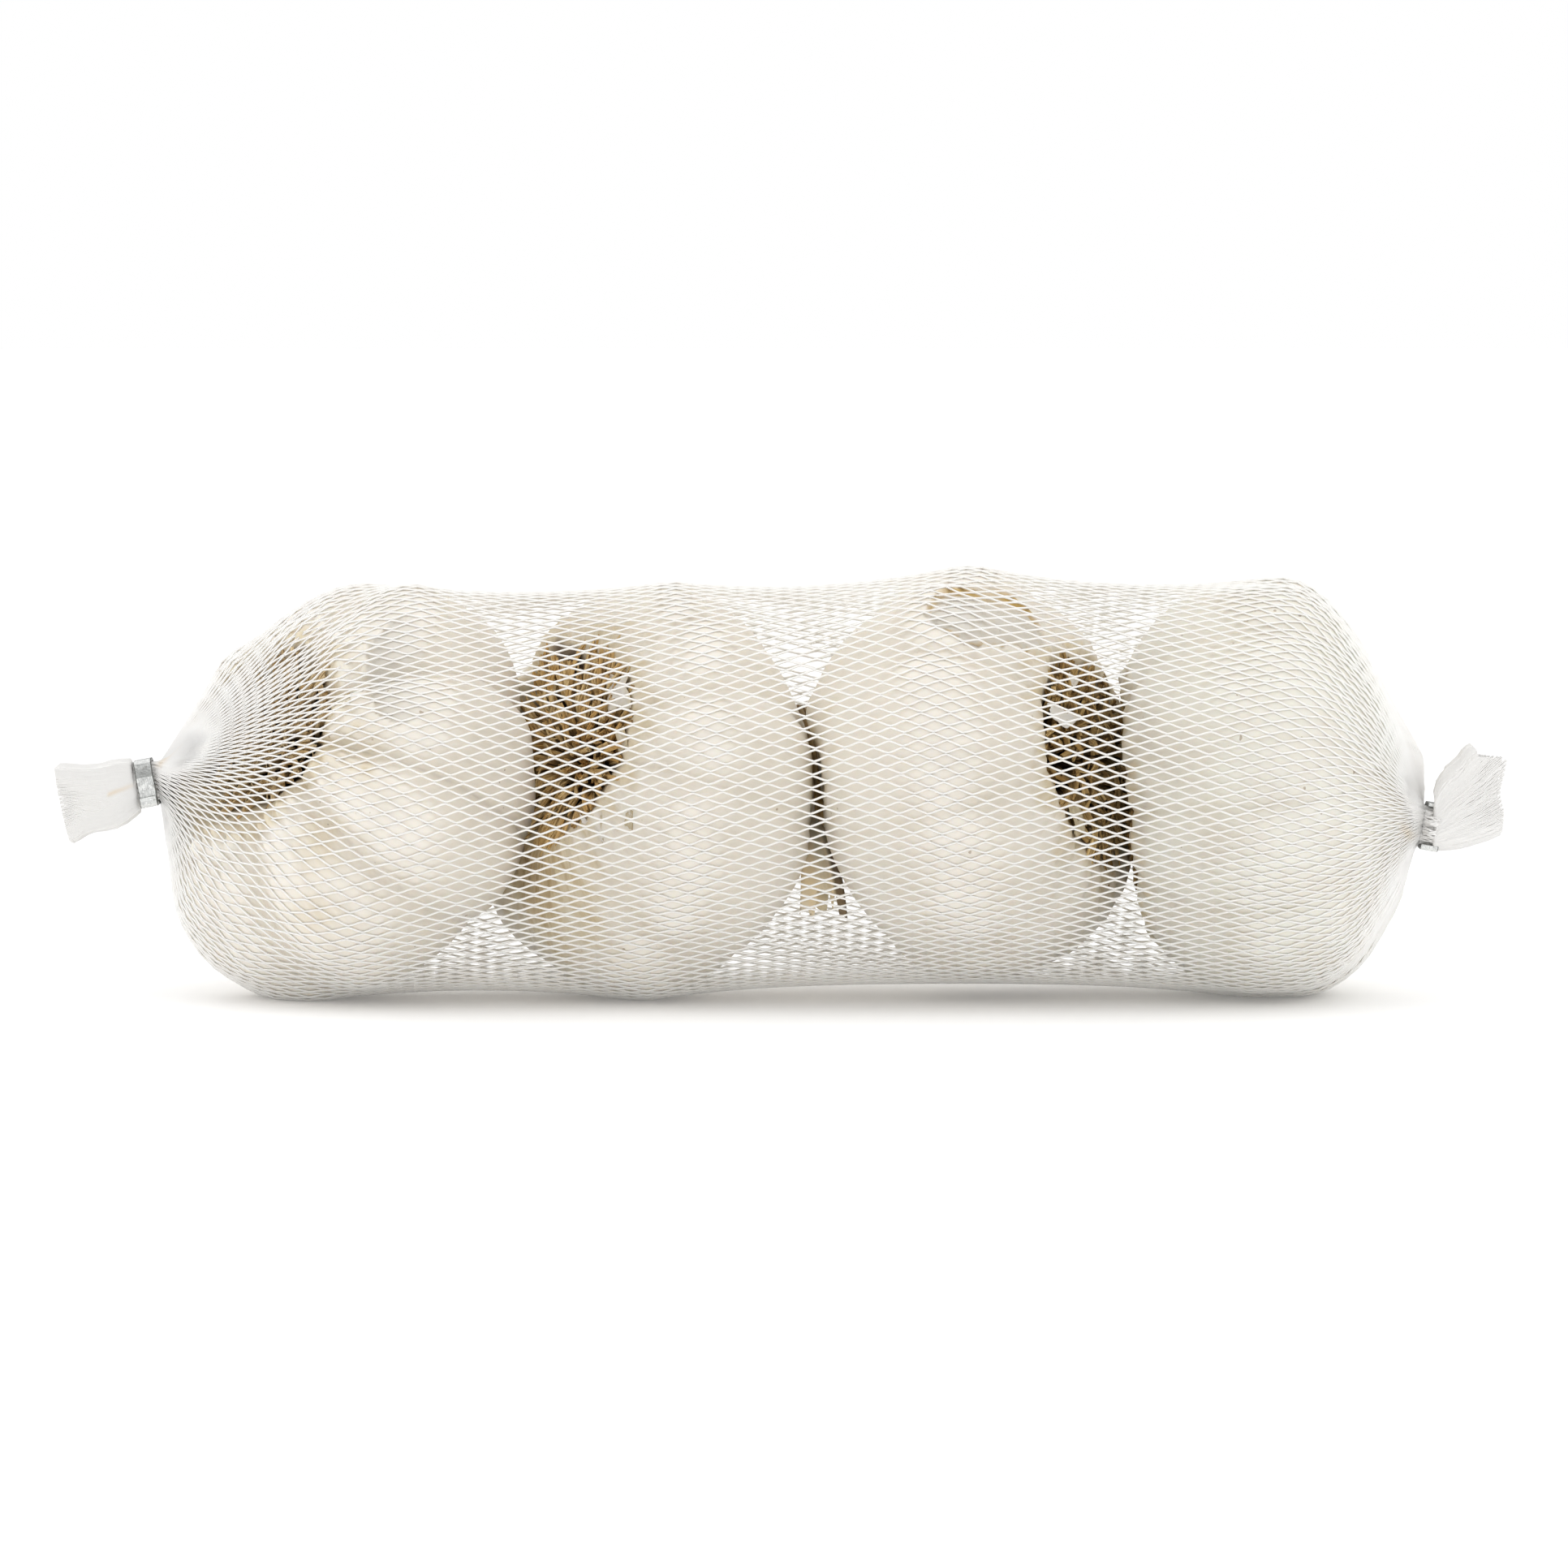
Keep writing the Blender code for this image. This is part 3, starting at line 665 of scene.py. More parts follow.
def bent_copy(points, curve, radius, tip_radius, spin):
    """The template's points carried along a curve of three control points."""
    start, middle, end = (np.asarray(point, float) for point in curve)
    t = points[:, 2:3].clip(-0.2, 1)
    spine = start * (1 - t) ** 2 + 2 * middle * t * (1 - t) + end * t**2
    tangent = unit_rows(2 * (middle - start) * (1 - t) + 2 * (end - middle) * t)
    side = unit_rows(np.cross(tangent, unit(np.cross(end - start, (0.31, 0.52, 0.79)))))
    other = np.cross(tangent, side)
    wide = radius + (tip_radius - radius) * t
    x = points[:, 0:1] * math.cos(spin) - points[:, 1:2] * math.sin(spin)
    y = points[:, 0:1] * math.sin(spin) + points[:, 1:2] * math.cos(spin)
    return spine + wide * (x * side + y * other)


def joined_piece(name, template, copies, tones, tips, material):
    """One mesh from many copies of a template's points, each with its own tone.

    tips: for each copy, the least that its value "tip" is. It runs from 0 at the foot to 1 at the end.
    """
    points, faces = shape_of(template)
    all_points = np.concatenate(copies) - shift
    all_faces = [tuple(v + k * len(points) for v in face) for k in range(len(copies)) for face in faces]
    data = bpy.data.meshes.new(name)
    data.from_pydata(all_points, [], all_faces)
    piece = placed(name, data)
    grain = np.tile(points * (1, 1, 0.25), (len(copies), 1))
    grain += np.repeat(np.asarray(tones), len(points))[:, None] * 40
    set_values(piece, "grain", grain, "FLOAT_VECTOR")
    set_values(piece, "tone", np.repeat(tones, len(points)))
    set_values(piece, "tip", np.maximum(np.tile(points[:, 2], len(copies)), np.repeat(tips, len(points))))
    data.materials.append(material)
    pick(piece)
    bpy.ops.object.shade_smooth_by_angle(angle=math.radians(50))
    return piece


# %% Dry root finish
def dry_fibre(name, shade, dark, middle, pale):
    """shade: the part of a root's length, from its foot, that is painted dark as painted shade deep in the
    brush.
    """
    material, tree, shader = new_material(name, 0.75)
    fibre_mask, fibre_height = fibres_along(tree, 2.6)
    # painted shade and light along each root: dark at its foot, lit and, at random, paler towards its tip
    deep = ranged(tree, value_of(tree, "tip"), 0.6 * shade, min(shade + 0.4, 0.98))
    lit = product(tree, deep, ranged(tree, fibre_mask, 0, 1, 0.35, 1.0))
    pale_share = product(tree, product(tree, value_of(tree, "tone"), deep), fibre_mask)
    colour = layered(tree, dark, (lit, middle), (pale_share, pale))
    tree.links.new(colour, shader.inputs["Base Color"])
    bumped(tree, shader, fibre_height, 0.12 * MM, 0.8)
    return material


root_finish, golden_finish, dark_finish = (
    dry_fibre(*finish)
    for finish in (
        ("dried_root", 0.30, (0.030, 0.014, 0.005), (0.86, 0.58, 0.25), (1.0, 0.87, 0.60)),
        ("dried_root_golden", 0.25, (0.06, 0.026, 0.008), (0.82, 0.50, 0.16), (1.0, 0.83, 0.48)),
        ("dried_root_dark", 0.4, (0.040, 0.019, 0.007), (0.50, 0.30, 0.09), (0.90, 0.66, 0.30)),
    )
)
print("roots:", root_finish.name, golden_finish.name, dark_finish.name)

# %% Tufts
Tuft = namedtuple("Tuft", "bulb count base reach lean strands radius curl hairs seed finish")
TUFTS = (
    Tuft(BULBS[0], 210, 0.52, 0.72, (0.0, 0.0, 0.02), (1, 3), 0.45 * MM, 0.12, 90, 21, root_finish),
    Tuft(BULBS[1], 300, 0.60, 0.82, (0.04, -0.02, 0.05), (3, 6), 0.29 * MM, 0.14, 12, 22, golden_finish),
    Tuft(BULBS[2], 230, 0.54, 0.78, (0.0, 0.0, 0.0), (2, 5), 0.36 * MM, 0.28, 10, 23, dark_finish),
    Tuft(BULBS[3], 200, 0.48, 0.66, (0.0, 0.0, 0.0), (2, 5), 0.40 * MM, 0.14, 6, 24, dark_finish),
)
TRAILS = {  # roots that hang over the skin from the plate's edge: how many, from where and to where
    "bulb_2": (48, (-0.66, -0.69, -0.22), (-0.68, -0.50, -0.58)),
    "bulb_3": (16, (0.80, -0.50, -0.26), (0.80, -0.30, -0.52)),
}
BRUSH_DEPTH = {"bulb_1": 1.0 * MM, "bulb_2": 0.5 * MM, "bulb_3": -0.8 * MM, "bulb_4": 1.0 * MM}
GOLDEN_ANGLE = math.radians(137.508)


def brush_distance(bulb, way):
    """From the centre to the surface that the tips of the roots make."""
    return skin_distance(bulb, np.atleast_2d(way), BRUSH_DEPTH[bulb.name])


def held_in(bulb, points):
    """No root stands out further than the tips of the others."""
    offset = points - bulb.centre
    length = np.linalg.norm(offset, axis=1)[:, None]
    most = brush_distance(bulb, offset / length)[:, None] - 0.02 * MM
    return bulb.centre + offset * np.minimum(1, most / length)


def over_tips(bulb, ways, depths):
    """Points of a curve, at depths in mm under the surface that the tips make."""
    return [bulb.centre + way * (brush_distance(bulb, way) - depth * MM) for way, depth in zip(ways, depths)]


# %% Stubs, rootlets and trailing roots
def stubs(tuft, draw):
    """Strands of the brush, each as its points, its tone and the least that its value "tip" is."""
    bulb = tuft.bulb
    points, _ = shape_of(stub)
    inward = -unit(bulb.plate)
    across = unit(np.cross(inward, (0.0, 0.0, 1.0)))
    aside = np.cross(inward, across)
    share = np.sqrt((np.arange(tuft.count) + 0.5) / tuft.count)
    turn = np.arange(tuft.count) * GOLDEN_ANGLE
    outward = np.cos(turn)[:, None] * across + np.sin(turn)[:, None] * aside

    def toward(angle, sideways):
        return unit_rows(-inward * np.cos(angle)[:, None] + outward * np.sin(angle)[:, None] + sideways)

    base = toward(tuft.base * share, 0)
    tip = toward(tuft.reach * share**0.85, draw.normal(0, 0.06, (tuft.count, 3)) + tuft.lean)
    starts = bulb.centre + base * (skin_distance(bulb, base) - 0.5 * MM)[:, None]
    below = draw.uniform(0.03, 0.9, tuft.count) * MM
    ends = bulb.centre + tip * (brush_distance(bulb, tip) - below)[:, None]
    strands = []
    for start, end in zip(starts, ends):
        along = end - start
        length = np.linalg.norm(along)
        up = inward * (along @ inward)
        middle = start + 0.75 * up + 0.25 * (along - up) + draw.normal(0, tuft.curl, 3) * length
        tone = draw.uniform(0, 1) ** 1.2
        for _ in range(draw.integers(*tuft.strands)):
            radius = tuft.radius * draw.uniform(0.6, 1.15)
            apart = draw.normal(0, 0.55, 3) * tuft.radius
            spread = draw.normal(0, 0.9, 3) * tuft.radius
            shorter = along * draw.uniform(0, 0.12)
            curve = (start + apart, middle + apart, end + spread - shorter)
            tip_radius = radius * draw.uniform(0.5, 0.9)
            bent = bent_copy(points, curve, radius, tip_radius, draw.uniform(0, TURN))
            strands.append((bent, float(np.clip(tone + draw.normal(0, 0.12), 0, 1)), 0.0))
    return strands


def rootlets(tuft, draw):
    """Thin ones that lie across the others."""
    bulb = tuft.bulb
    points, _ = shape_of(stub)
    strands = []
    for _ in range(tuft.hairs):
        way = unit(unit(bulb.plate) + draw.normal(0, 0.25, 3))
        along = unit(np.cross(way, draw.normal(size=3))) * draw.uniform(0.06, 0.16)
        bow = draw.normal(0, 0.04, 3)
        curve = over_tips(bulb, (unit(way - along), unit(way + bow), unit(way + along)), (0.9, -0.1, 0.2))
        thin = draw.uniform(0.08, 0.16) * MM
        strands.append((bent_copy(points, curve, thin, 0.6 * thin, 0), draw.uniform(0.6, 1.0), 1.0))
    return strands


def trails(bulb, draw):
    count, first, last = TRAILS.get(bulb.name, (0, None, None))
    points, _ = shape_of(stub)
    strands = []
    for _ in range(count):
        aside = draw.normal(0, 0.09, 3)
        shares = (0, 0.5, draw.uniform(0.5, 1.1))
        ways = [unit(unit(first) * (1 - t) + unit(last) * t + aside) for t in shares]
        curve = over_tips(bulb, ways, (0.6, 0.12, 0.22))
        thin = draw.uniform(0.12, 0.26) * MM
        bent = bent_copy(points, curve, thin, 0.6 * thin, 0)
        strands.append((bent, draw.uniform(0.0, 0.6), draw.uniform(0.35, 0.8)))
    return strands


def model_tuft(tuft):
    draw = np.random.default_rng(tuft.seed)
    bulb = tuft.bulb
    strands = stubs(tuft, draw) + rootlets(tuft, draw) + trails(bulb, draw)
    copies, tones, tips = (list(column) for column in zip(*strands))
    copies = np.split(held_in(bulb, np.concatenate(copies)), len(copies))
    if bulb.name == "bulb_1":  # one rootlet has come out through the net
        ways = (unit((-0.905, -0.01, 0.426)), unit((-0.87, -0.21, 0.44)), unit((-0.78, -0.41, 0.45)))
        curve = over_tips(bulb, ways, (-0.7, -0.9, 0.1))
        copies.append(bent_copy(shape_of(stub)[0], curve, 0.13 * MM, 0.22 * MM, 0))
        tones.append(1.0)
        tips.append(1.0)
    return joined_piece("roots_of_" + bulb.name, stub, copies, tones, tips, tuft.finish)


tufts = [model_tuft(tuft) for tuft in TUFTS]
print("tufts:", {piece.name: len(piece.data.polygons) for piece in tufts})

# %% [markdown]
# ## Loose skin
# Torn bits of papery skin lie on the roots and stand off round their edges. Each is a small grid laid out
# between four directions from a bulb's centre. The dry stem of the second bulb bends forward between it and
# the third, in a collar of torn skin that is painted near-black brown as painted shade for the slit between
# the bulbs. The stem's side at the slit and its top are painted darker as painted shade too. All are papery,
# so a
# Solidify modifier gives them a thickness of about a tenth of a millimetre.

# %% Paper from a grid
def paper_piece(name, make, thickness, finish=skin):
    """A grid or tube that make() shapes, given a thickness and the values that the skin's finish reads."""
    piece, points, values = make()
    piece.name = piece.data.name = name
    set_places(piece, points - shift)
    for value_name in ("stain", "dark", "grey", "ochre"):
        set_values(piece, value_name, values.get(value_name, np.zeros(len(points))))
    set_values(piece, "grain", values["grain"], "FLOAT_VECTOR")
    bpy.ops.object.modifier_add(type="SOLIDIFY")
    paper = piece.modifiers[-1]
    paper.thickness, paper.offset = thickness, 0.0
    bpy.ops.object.modifier_apply(modifier=paper.name)
    bpy.ops.object.shade_smooth()
    piece.data.materials.append(finish)
    return piece


def grid(name, cuts):
    deselect()
    bpy.ops.mesh.primitive_grid_add(x_subdivisions=cuts, y_subdivisions=cuts, size=2)
    piece = added(name)
    return piece, places(piece)[:, 0], places(piece)[:, 1]


# %% Flakes
# A flake's four corners are ways from its bulb's centre. heights: over the tips of the roots, in mm.
Flake = namedtuple("Flake", "bulb corners heights arch stain")
FLAKES = (
    Flake(1, ((-0.50, -0.86, -0.11), (-0.30, -0.94, -0.19), (-0.28, -0.93, -0.24), (-0.47, -0.87, -0.16)),
          (-0.3, 0.1, 0.1, -0.2), 0.15, 0.0),
    Flake(1, ((-0.325, -0.456, 0.828), (-0.155, -0.621, 0.769), (-0.134, -0.79, 0.598),
              (-0.304, -0.72, 0.623)), (-0.9, 0.05, 0.0, -0.6), 0.2, 0.05),
    Flake(1, ((-0.26, -0.83, 0.50), (-0.17, -0.87, 0.46), (-0.14, -0.93, 0.34), (-0.22, -0.92, 0.33)),
          (-0.7, 0.1, 0.0, -0.4), 0.4, 0.45),
    Flake(1, ((-0.14, -0.98, -0.06), (-0.09, -0.99, -0.05), (-0.10, -0.98, -0.15), (-0.15, -0.98, -0.14)),
          (0.1, 0.0, 0.1, 0.0), 0.1, 0.6),
    Flake(1, ((-0.40, -0.90, -0.16), (-0.30, -0.95, -0.10), (-0.28, -0.93, -0.26), (-0.36, -0.88, -0.32)),
          (-0.2, 0.05, 0.0, -0.3), 0.3, 0.35),
    Flake(2, ((0.49, -0.713, 0.499), (0.73, -0.52, 0.436), (0.587, -0.735, 0.339), (0.47, -0.76, 0.44)),
          (-0.1, -0.3, 0.0, 0.0), 0.4, 0.0),
    Flake(2, ((0.62, -0.40, 0.67), (0.70, -0.36, 0.62), (0.66, -0.48, 0.58), (0.60, -0.50, 0.63)),
          (0.0, -0.4, -0.1, -0.2), 0.2, 0.1),
    Flake(2, ((0.55, -0.80, -0.10), (0.64, -0.76, -0.08), (0.70, -0.66, -0.28), (0.62, -0.72, -0.30)),
          (0.0, -0.6, -0.2, 0.0), 0.3, 0.6),
    Flake(0, ((-0.08, -0.70, 0.71), (0.0, -0.72, 0.69), (0.03, -0.80, 0.60), (-0.06, -0.79, 0.61)),
          (-0.3, 0.1, 0.1, -0.1), 0.2, 0.35),
)
FLAKE_CUTS = 14
FLAKE_THICKNESS = 0.10 * MM


def flake_maker(number, flake):
    def make():
        bulb = BULBS[flake.bulb]
        piece, x, y = grid("flake_%d" % number, FLAKE_CUTS)
        u, v = (x + 1) / 2, (y + 1) / 2
        torn = 0.07 * ripples(np.stack([x, y, 0 * x], 1), (0.9, 1.3, 2.1), number + 700)
        rim = np.maximum(np.abs(x), np.abs(y)) ** 3
        u, v = u + torn * rim, v + torn[::-1] * rim
        shares = np.stack([(1 - u) * (1 - v), u * (1 - v), u * v, (1 - u) * v], 1)
        ways = unit_rows(shares @ np.array([unit(corner) for corner in flake.corners]))
        height = shares @ np.array(flake.heights) + flake.arch * (x**2 - 1) * 0.5
        height += 0.05 * ripples(np.stack([3 * x, 2 * y, 0 * x], 1), (1.1, 1.7, 2.6), number + 710)
        reach = brush_distance(bulb, ways) + height.clip(-9, 0.15) * MM
        points = bulb.centre + ways * reach[:, None]
        edge = flake.stain + 0.35 * rim * (flake.stain > 0)
        return piece, points, {"stain": edge.clip(0, 1), "grain": np.stack([x, 0.2 * y, 0 * x], 1) * 4 * MM}
    return make


flakes = [
    paper_piece("flake_%d" % (k + 1), flake_maker(k, flake), FLAKE_THICKNESS)
    for k, flake in enumerate(FLAKES)
]
print("flakes:", len(flakes))

# %% Stem of the second bulb
STEM_CURVE = mm((-1.5, 9.0, 24.0), (5.0, -8.0, 29.5), (5.4, -12.0, 14.3))
STEM_SIDES, STEM_CUTS = 36, 26
STEM_THICKNESS = 0.12 * MM
# the collar is a torn sheet painted near-black brown, as painted shade in the slit between bulbs 2 and 3
COLLAR = mm((2.6, 5.0, 39.2), (4.0, 3.6, 36.0), (4.8, 2.6, 32.5), (5.2, 1.6, 28.5), (4.9, 1.0, 23.0))
COLLAR_CUTS = 24
dry_stem = garlic_skin("dry_stem_skin", (0.92, 0.71, 0.44))


def make_stem():
    piece = cut_tube("stem", STEM_SIDES, STEM_CUTS, "NOTHING")
    bpy.ops.object.mode_set(mode="OBJECT")
    round_about, t = places(piece)[:, :2], places(piece)[:, 2]
    angle = np.arctan2(round_about[:, 1], round_about[:, 0])
    ragged = 0.05 * np.sin(3 * angle + 0.6) + 0.04 * np.sin(7 * angle) + 0.03 * np.sin(13 * angle + 1)
    t = t * (1 + ragged * eased(t, 0.6, 1.0))
    start, middle, end = STEM_CURVE
    spine = start * ((1 - t) ** 2)[:, None] + middle * (2 * t * (1 - t))[:, None] + end * (t**2)[:, None]
    ribbed = 1 + 0.12 * np.sin(5 * angle + 1) + 0.05 * np.sin(11 * angle) + 0.10 * np.sin(2 * angle + 4 * t)
    wide = np.interp(t, (0, 0.5, 1.1), (1.6, 1.3, 3.3)) * MM * ribbed
    thick = np.interp(t, (0, 0.5, 1.1), (1.6, 0.8, 1.3)) * MM * ribbed
    across = [wide * np.cos(angle), -0.8 * thick * np.sin(angle), -0.4 * thick * np.sin(angle)]
    middle_rib = hill(np.cos(angle) - 0.15, 0.25)
    # the side towards bulb 3 faces the slit: painted tan and, lower down, near-black as painted shade; the
    # top of the stem, back in the groove, is painted darker as painted shade
    right_edge = eased(np.cos(angle), 0.62, 0.85)
    stain = 0.10 + 0.45 * middle_rib + 0.5 * right_edge
    dark = 0.85 * right_edge * eased(t, 0.45, 0.8) + 0.35 * eased(-t, -0.55, -0.35)
    grain = np.stack([np.cos(angle), np.sin(angle), 0.5 * t], 1) * 4 * MM
    values = {"stain": stain.clip(0, 1), "dark": dark.clip(0, 1), "grain": grain}
    return piece, spine + np.stack(across, 1), values


def make_collar():
    piece, x, y = grid("collar", COLLAR_CUTS)
    share = (1 - y) / 2
    at = np.linspace(0, 1, len(COLLAR))
    spine = np.stack([np.interp(share, at, COLLAR[:, axis]) for axis in range(3)], 1)
    wide = np.interp(share, (0, 0.3, 1), (0.5, 1.6, 1.9)) * MM
    ragged = 1 + 0.12 * np.sin(9 * share + 1) + 0.08 * np.sin(23 * share)
    points = spine + np.stack([wide * x * ragged, 1.2 * MM * x**2 + 0.2 * MM * np.sin(9 * x), 0 * x], 1)
    # painted shade: near-black over most of the collar, for the slit it fills
    dark = 0.75 + 0.2 * np.sin(7 * x + 2 * share)
    grain = np.stack([x, 0.1 * y, 0 * x], 1) * 4 * MM
    return piece, points, {"stain": np.ones(len(x)), "dark": dark.clip(0, 1), "grain": grain}


stems = [
    paper_piece("stem", make_stem, STEM_THICKNESS, dry_stem),
    paper_piece("collar", make_collar, STEM_THICKNESS),
]
print("stem and collar:", [len(piece.data.polygons) for piece in stems])

# %% [markdown]
# ## Net as a lattice
# The net is a tube of diamonds, 100 round it. It is slack when empty, and the bulbs stretch it. To find how
# it lies, its knots are points joined by springs that pull only when they are longer than the slack arm,
# and no point may be inside a bulb, in a clip or under the floor. A coarse net settles first, because a
# pull runs through it in few steps. The fine one then starts from that form.

# %% Net sizes
MESHES_AROUND = 100
ARM = 2.17 * MM  # side of one diamond
COARSE_SLACK, FINE_SLACK = 0.86, 0.97  # share of its length that an arm has when nothing pulls it
THREAD_RADIUS = 0.146 * MM
COVER = THREAD_RADIUS + 0.03 * MM  # from the skin to the middle of a thread
COARSE_AROUND, COARSE_RINGS, COARSE_STEPS = 48, 58, 1500
FINE_RINGS, FINE_STEPS = 95, 500
TUBE_RADIUS = 31 * MM
AXIS_HEIGHT = 28.5 * MM
SIDE_AIR = 0.15 * MM  # between a clip's side and the net beside it
END_STRETCH = 0.22  # how much longer the pulled arms beside the clips are
BESIDE_CLIP = 5 * MM
SPEED_KEPT, STEP, LEAST_PULL, GRIP = 0.9, 0.12, 0.03, 0.5
CLIP_AIR = 0.25 * MM  # between the strip and the middle of the threads in it
PLEATS = 17
PLEAT_DEPTH = 0.12  # share of the way to the middle of the bundle
LEFT_SPREAD, RIGHT_SPREAD = 4.2, 2.8  # of the net's front, as it runs into a clip
WIDEST = math.pi + 0.4  # the angle round the tube where it is spread most, low on the front


# %% The skin as a table that is quick to read
TABLE_RISE, TABLE_TURN = 180, 360


def skin_table(bulb):
    """Distances on a grid of angles. The pit is nearly full, since the roots fill it."""
    from_stem, turn = np.meshgrid(
        np.linspace(0, math.pi, TABLE_RISE + 1), np.arange(TABLE_TURN + 1) / TABLE_TURN * TURN, indexing="ij"
    )
    out = np.sin(from_stem)
    local = np.stack([out * np.cos(turn), out * np.sin(turn), np.cos(from_stem)], -1)
    directions = local.reshape(-1, 3) @ bulb_axes(bulb)
    return brush_distance(bulb, directions).reshape(from_stem.shape)


def read_table(bulb, table, directions):
    _, _, from_stem, turn = polar(bulb, directions)
    row = (from_stem / math.pi * TABLE_RISE).clip(0, TABLE_RISE - 1e-6)
    column = (turn / TURN * TABLE_TURN).clip(0, TABLE_TURN - 1e-6)
    i, j = row.astype(int), column.astype(int)
    u, v = row - i, column - j
    above = table[i, j] * (1 - v) + table[i, j + 1] * v
    below = table[i + 1, j] * (1 - v) + table[i + 1, j + 1] * v
    return above * (1 - u) + below * u


tables = [skin_table(bulb) for bulb in BULBS]
print("tables:", [table.shape for table in tables])


# %% Knots and their neighbours
def ring_angles(ring, around):
    """Where the knots of a ring lie: every other ring is turned by half a step."""
    return (np.arange(around) + 0.5 * (ring % 2)) / around * TURN


def neighbours(rings, around):
    """The four knots that each knot is joined to."""
    ring, place = np.divmod(np.arange(rings * around), around)
    before = np.where(ring % 2 == 0, place - 1, place) % around
    after = np.where(ring % 2 == 0, place, place + 1) % around
    lower = np.maximum(ring - 1, 0) * around
    upper = np.minimum(ring + 1, rings - 1) * around
    return np.stack([lower + before, lower + after, upper + before, upper + after], 1)


# %% What holds the net: clips, bulbs and floor
def clip_section(centre, lean, spread, along, ring, around, pleat_depth):
    """A ring of the bundle in a clip, along metres to the right of the clip's middle.

    The net isn't gathered evenly: the knots low on its front lie spread times as wide apart.
    """
    angle = WIDEST + 2 * np.arctan(spread * np.tan((ring_angles(ring, around) - WIDEST) / 2))
    tuck = 1 - pleat_depth * (0.5 - 0.5 * np.cos(PLEATS * angle))
    y = (CLIP_HALF_DEPTH - STRIP_THICKNESS / 2 - CLIP_AIR) * tuck * np.cos(angle)
    z = (CLIP_HALF_HEIGHT - STRIP_THICKNESS / 2 - CLIP_AIR) * tuck * np.sin(angle)
    x = along * math.cos(lean) + z * math.sin(lean)
    return np.stack([x, y, z * math.cos(lean) - along * math.sin(lean)], 1) + centre


def push_out_of_bulbs(points):
    for bulb, table in zip(BULBS, tables):
        offset = points - bulb.centre
        length = np.linalg.norm(offset, axis=1)
        near = length < 1.3 * bulb.belly
        direction = offset[near] / length[near, None]
        least = read_table(bulb, table, direction) + COVER
        points[near] = bulb.centre + direction * np.maximum(length[near], least)[:, None]


def keep_off_clip(points, centre, lean, side):
    offset = points - centre
    reach = side * (offset[:, 0] * math.cos(lean) - offset[:, 2] * math.sin(lean))
    short = STRIP_WIDTH / 2 + SIDE_AIR - reach
    beside = (np.hypot(offset[:, 1], offset[:, 2]) < BESIDE_CLIP) & (short > 0)
    points[beside, 0] += side * short[beside]


# %% Drawing the net tight
def settle(points, rings, around, steps, slack_share):
    """Draws the net tight. Its first and last ring are held."""
    joined = neighbours(rings, around)
    from_end = np.minimum(np.arange(rings), np.arange(rings)[::-1])
    stretch = 1 + END_STRETCH * hill(from_end / rings * 10, 1)
    slack = ARM * MESHES_AROUND / around * slack_share * stretch
    free = slice(around, -around)
    slack = np.repeat(slack, around)[free, None, None]
    speed = np.zeros_like(points)
    for _ in range(steps):
        arm = points[joined[free]] - points[free, None]
        length = np.linalg.norm(arm, axis=2, keepdims=True)
        pull = (arm * np.maximum(1 - slack / length, LEAST_PULL)).sum(1)
        speed[free] = SPEED_KEPT * speed[free] + STEP * pull
        points[free] += speed[free]
        moved = points.copy()
        push_out_of_bulbs(points[free])
        keep_off_clip(points[free], LEFT_CLIP, LEFT_LEAN, 1)
        keep_off_clip(points[free], RIGHT_CLIP, RIGHT_LEAN, -1)
        points[free, 2] = np.maximum(points[free, 2], 1.2 * THREAD_RADIUS)
        speed[np.abs(points - moved).max(1) > 0] *= GRIP
    return points


def straight_tube(rings, around):
    """The net before it is drawn tight: a tube that narrows to the clips."""
    share = np.linspace(0, 1, rings)
    x = LEFT_CLIP[0] + share * (RIGHT_CLIP[0] - LEFT_CLIP[0])
    y = np.interp(share, (0, 0.1, 0.9, 1), (LEFT_CLIP[1], 0, 0, RIGHT_CLIP[1]))
    z = np.interp(share, (0, 0.1, 0.9, 1), (LEFT_CLIP[2], AXIS_HEIGHT, AXIS_HEIGHT, RIGHT_CLIP[2]))
    radius = TUBE_RADIUS * np.clip(np.sin(math.pi * share), 0.08, 0.45) / 0.45
    return np.stack([
        np.stack([np.full(around, x[k]), y[k] + radius[k] * np.cos(ring_angles(k, around)),
                  z[k] + radius[k] * np.sin(ring_angles(k, around))], 1)
        for k in range(rings)
    ])


def finer(coarse, rings, around):
    """The same surface with more knots."""
    old_rings, old_around = coarse.shape[:2]
    found = np.empty((rings, around, 3))
    for k in range(rings):
        at = k / (rings - 1) * (old_rings - 1)
        ring = min(int(at), old_rings - 2)
        samples = []
        for r in (ring, ring + 1):
            column = ring_angles(k, around) / TURN * old_around - 0.5 * (r % 2)
            j = np.floor(column).astype(int)
            v = (column - j)[:, None]
            samples.append(coarse[r][j % old_around] * (1 - v) + coarse[r][(j + 1) % old_around] * v)
        found[k] = samples[0] * (1 - at + ring) + samples[1] * (at - ring)
    return found


# %% Coarse net, then fine net
sleeve_start = STRIP_WIDTH / 2 + SIDE_AIR  # from a clip's middle


def hold_ends(net, pleat_depth):
    """Puts the first and the last ring beside the clips."""
    rings, around = net.shape[:2]
    net[0] = clip_section(LEFT_CLIP, LEFT_LEAN, LEFT_SPREAD, sleeve_start, 0, around, pleat_depth)
    last = clip_section(RIGHT_CLIP, RIGHT_LEAN, RIGHT_SPREAD, -sleeve_start, rings - 1, around, pleat_depth)
    net[-1] = last
    return net.reshape(-1, 3)


